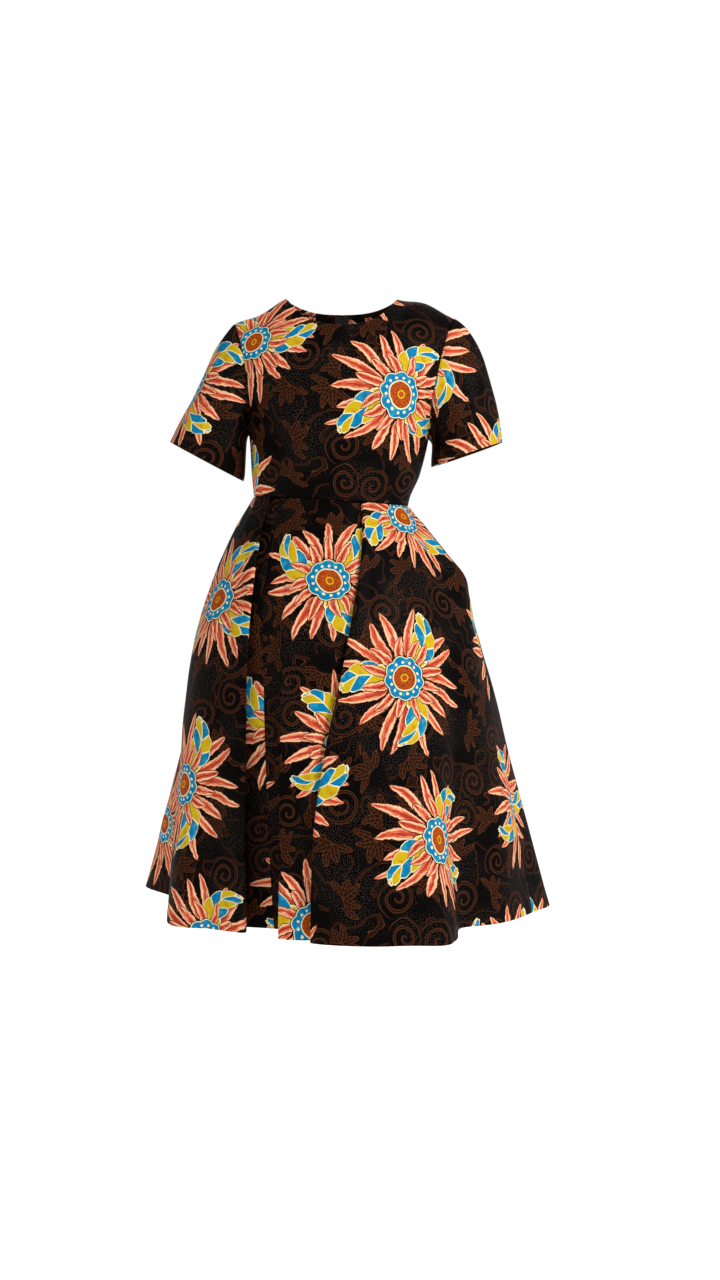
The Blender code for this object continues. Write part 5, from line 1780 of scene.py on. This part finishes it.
# %% One stitch
STITCH = {"length": 0.0026, "every": 0.0034, "radius": 0.00019, "in_from_edge": 0.003}
NECK_STITCH_IN = 0.002
PROUD = 0.0001                 # stitches stand this far off the turned edge
AHEAD = 0.0005                 # a small step, to find which way a row runs
bpy.ops.object.select_all(action="DESELECT")
bpy.ops.mesh.primitive_uv_sphere_add(segments=6, ring_count=5, radius=1)
one = bpy.context.object
select_faces(one, lambda centre, normal: True)
bpy.ops.transform.resize(value=(STITCH["radius"], STITCH["radius"], STITCH["length"] / 2))
bpy.ops.object.mode_set(mode="OBJECT")
STITCH_POINTS = np.array([v.co for v in one.data.vertices])
STITCH_FACES = [tuple(face.vertices) for face in one.data.polygons]
bpy.data.objects.remove(one, do_unlink=True)
print("one stitch:", len(STITCH_FACES), "faces")


# %% Rows of stitches
def stitch_row(name, edge, inside):
    """Places, directions along the row and outward directions for one row of stitches."""
    points, normals = (from_edge(grid, edge) for grid in SEWN[name])
    place, way = line_inside(points, normals, inside)
    place = place - way * (UNDER_GAP + PROUD)
    away = distance_in(place)
    at = np.arange(STITCH["every"] / 2, away[-1], STITCH["every"])
    where = on_path(at, away, place)
    return zip(where, on_path(at + AHEAD, away, place) - where, on_path(at, away, way))


def sew_stitches(name, rows):
    points, faces = [], []
    for row in rows:
        for where, ahead, out in stitch_row(*row):
            if np.linalg.norm(ahead) < 1e-5:
                continue
            along = ahead / np.linalg.norm(ahead)
            side = np.cross(out, along)
            side /= np.linalg.norm(side)
            axes = np.array([side, np.cross(along, side), along])
            faces += [tuple(v + len(points) * len(STITCH_POINTS) for v in face) for face in STITCH_FACES]
            points.append(STITCH_POINTS @ axes + where)
    mesh = bpy.data.meshes.new(name)
    mesh.from_pydata(np.concatenate(points), [], faces)
    mesh.materials.append(THREAD)
    piece = add_object(name, mesh)
    bpy.ops.object.shade_smooth()
    print(name + ":", len(points), "stitches")
    return piece


hem_in, neck_in = HEM_DEPTH - STITCH["in_from_edge"], NECK_DEPTH - NECK_STITCH_IN
BODICE = ("bodice_front", "bodice_back_left", "bodice_back_right")
STITCHES = [
    sew_stitches("skirt_hem_stitches", [(panel[0], BOTTOM, hem_in) for panel in PANELS]),
    sew_stitches("cuff_stitches", [("sleeve_" + sleeve[0], BOTTOM, hem_in) for sleeve in SLEEVES]),
    sew_stitches("neck_stitches", [(name, TOP, neck_in) for name in BODICE]),
]

# %% [markdown]
# ## Camera
# The camera stands 3.3 m in front of the dress, level with the hips, and looks a little
# down, with a long lens, so that shapes stay in proportion. The view transform is
# Standard, which shows the inks as they were mixed.

# %% Camera
CAMERA_PLACE = (0.0, -3.3, -0.4454)
CAMERA_AIM = (0.00938, 1.0, -0.0417)
CAMERA_LENS = 53.97            # mm, on a sensor 36 mm high
bpy.ops.object.camera_add(location=CAMERA_PLACE)
camera = bpy.context.object
camera.rotation_euler = Vector(CAMERA_AIM).to_track_quat("-Z", "Y").to_euler()
camera.data.sensor_fit = "VERTICAL"
camera.data.sensor_height = 36.0
camera.data.lens = CAMERA_LENS
bpy.context.scene.camera = camera
bpy.context.scene.view_settings.view_transform = "Standard"
print("camera looks along", [round(v, 3) for v in Vector(CAMERA_AIM).normalized()])

# %% [markdown]
# ## Floor, backdrop and light
# A studio shows clothes on white. The dress floats at the height where it is worn, over a
# floor of pale paper that glows a little, so that it meets the backdrop with no horizon.
# The world is full white where the camera sees it, and weaker where it lights the dress,
# because full white from all sides would wash out the folds. A key light stands high on
# the right, a weak fill on the left, and a rim light behind.

# %% Floor of pale paper
FLOOR_SIZE, FLOOR_PLACE = 14, (0, 2.5, -1.55)
PAPER_GLOW = 0.46
bpy.ops.mesh.primitive_plane_add(size=FLOOR_SIZE, location=FLOOR_PLACE)
floor = bpy.context.object
floor.name = "floor"
paper, tree, shader = new_material("pale_paper")
grain = node(tree, "TexNoise", node(tree, "TexCoord", out=3), None, 3.0, 2.0)
shade = layered(tree, colour("#fafafa"), [(grain, colour("#ffffff"))])
tree.links.new(shade, shader.inputs["Base Color"])
shader.inputs["Roughness"].default_value = 0.9
shader.inputs["Emission Color"].default_value = colour("#ffffff")
shader.inputs["Emission Strength"].default_value = PAPER_GLOW
floor.data.materials.append(paper)
print("floor:", FLOOR_SIZE, "m wide,", -FLOOR_PLACE[2], "m below the shoulders")

# %% White backdrop
WORLD_LIGHT, WORLD_SEEN = 0.60, 1.0
world = bpy.data.worlds.new("studio")
world.use_nodes = True
sky = world.node_tree
strength = node(sky, "MapRange", node(sky, "LightPath"), 0.0, 1.0, WORLD_LIGHT, WORLD_SEEN)
sky.nodes["Background"].inputs["Color"].default_value = colour("#ffffff")
sky.links.new(strength, sky.nodes["Background"].inputs["Strength"])
bpy.context.scene.world = world
print("world:", WORLD_LIGHT, "as light,", WORLD_SEEN, "as backdrop")

# %% Lights
LIGHTS = (  # name, place, watts, size
    ("key", (2.2, -2.0, 1.3), 98.0, 0.8),
    ("fill", (-2.4, -2.2, 0.2), 14.0, 2.0),
    ("rim", (0.4, 2.6, 1.6), 20.0, 1.6),
)
LIT_POINT = Vector((0, 0, -0.6))
for name, place, watts, size in LIGHTS:
    bpy.ops.object.light_add(type="AREA", location=place)
    light = bpy.context.object
    light.name = name
    light.data.energy = watts
    light.data.size = size
    light.rotation_euler = (LIT_POINT - Vector(place)).to_track_quat("-Z", "Y").to_euler()
print("lights:", ", ".join(f"{name} {watts:.0f} W" for name, _, watts, _ in LIGHTS))

# %% [markdown]
# ## What each piece stands for
# Every piece rides with the dress, except the tab, which turns with its own body. Each
# cloth piece replaces its solid, which is hidden.

# %% The cloth pieces
for name, piece in PIECES.items():
    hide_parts(name)
    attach(piece, "dress")

# %% Zip and stitches
SLOTS = [(piece, "zip_strip") for piece in TAPES + COILS] + [(slider, "painted_zinc")]
for piece, slot in SLOTS + [(row, "printed_cotton") for row in STITCHES]:
    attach(piece, "dress")
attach(tab, "zip_tab")
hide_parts("zip_tape")
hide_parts("zip_slider")
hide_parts("zip_pull")
print("zip:", len(SLOTS) + 1, "pieces, and", len(STITCHES), "rows of stitches")
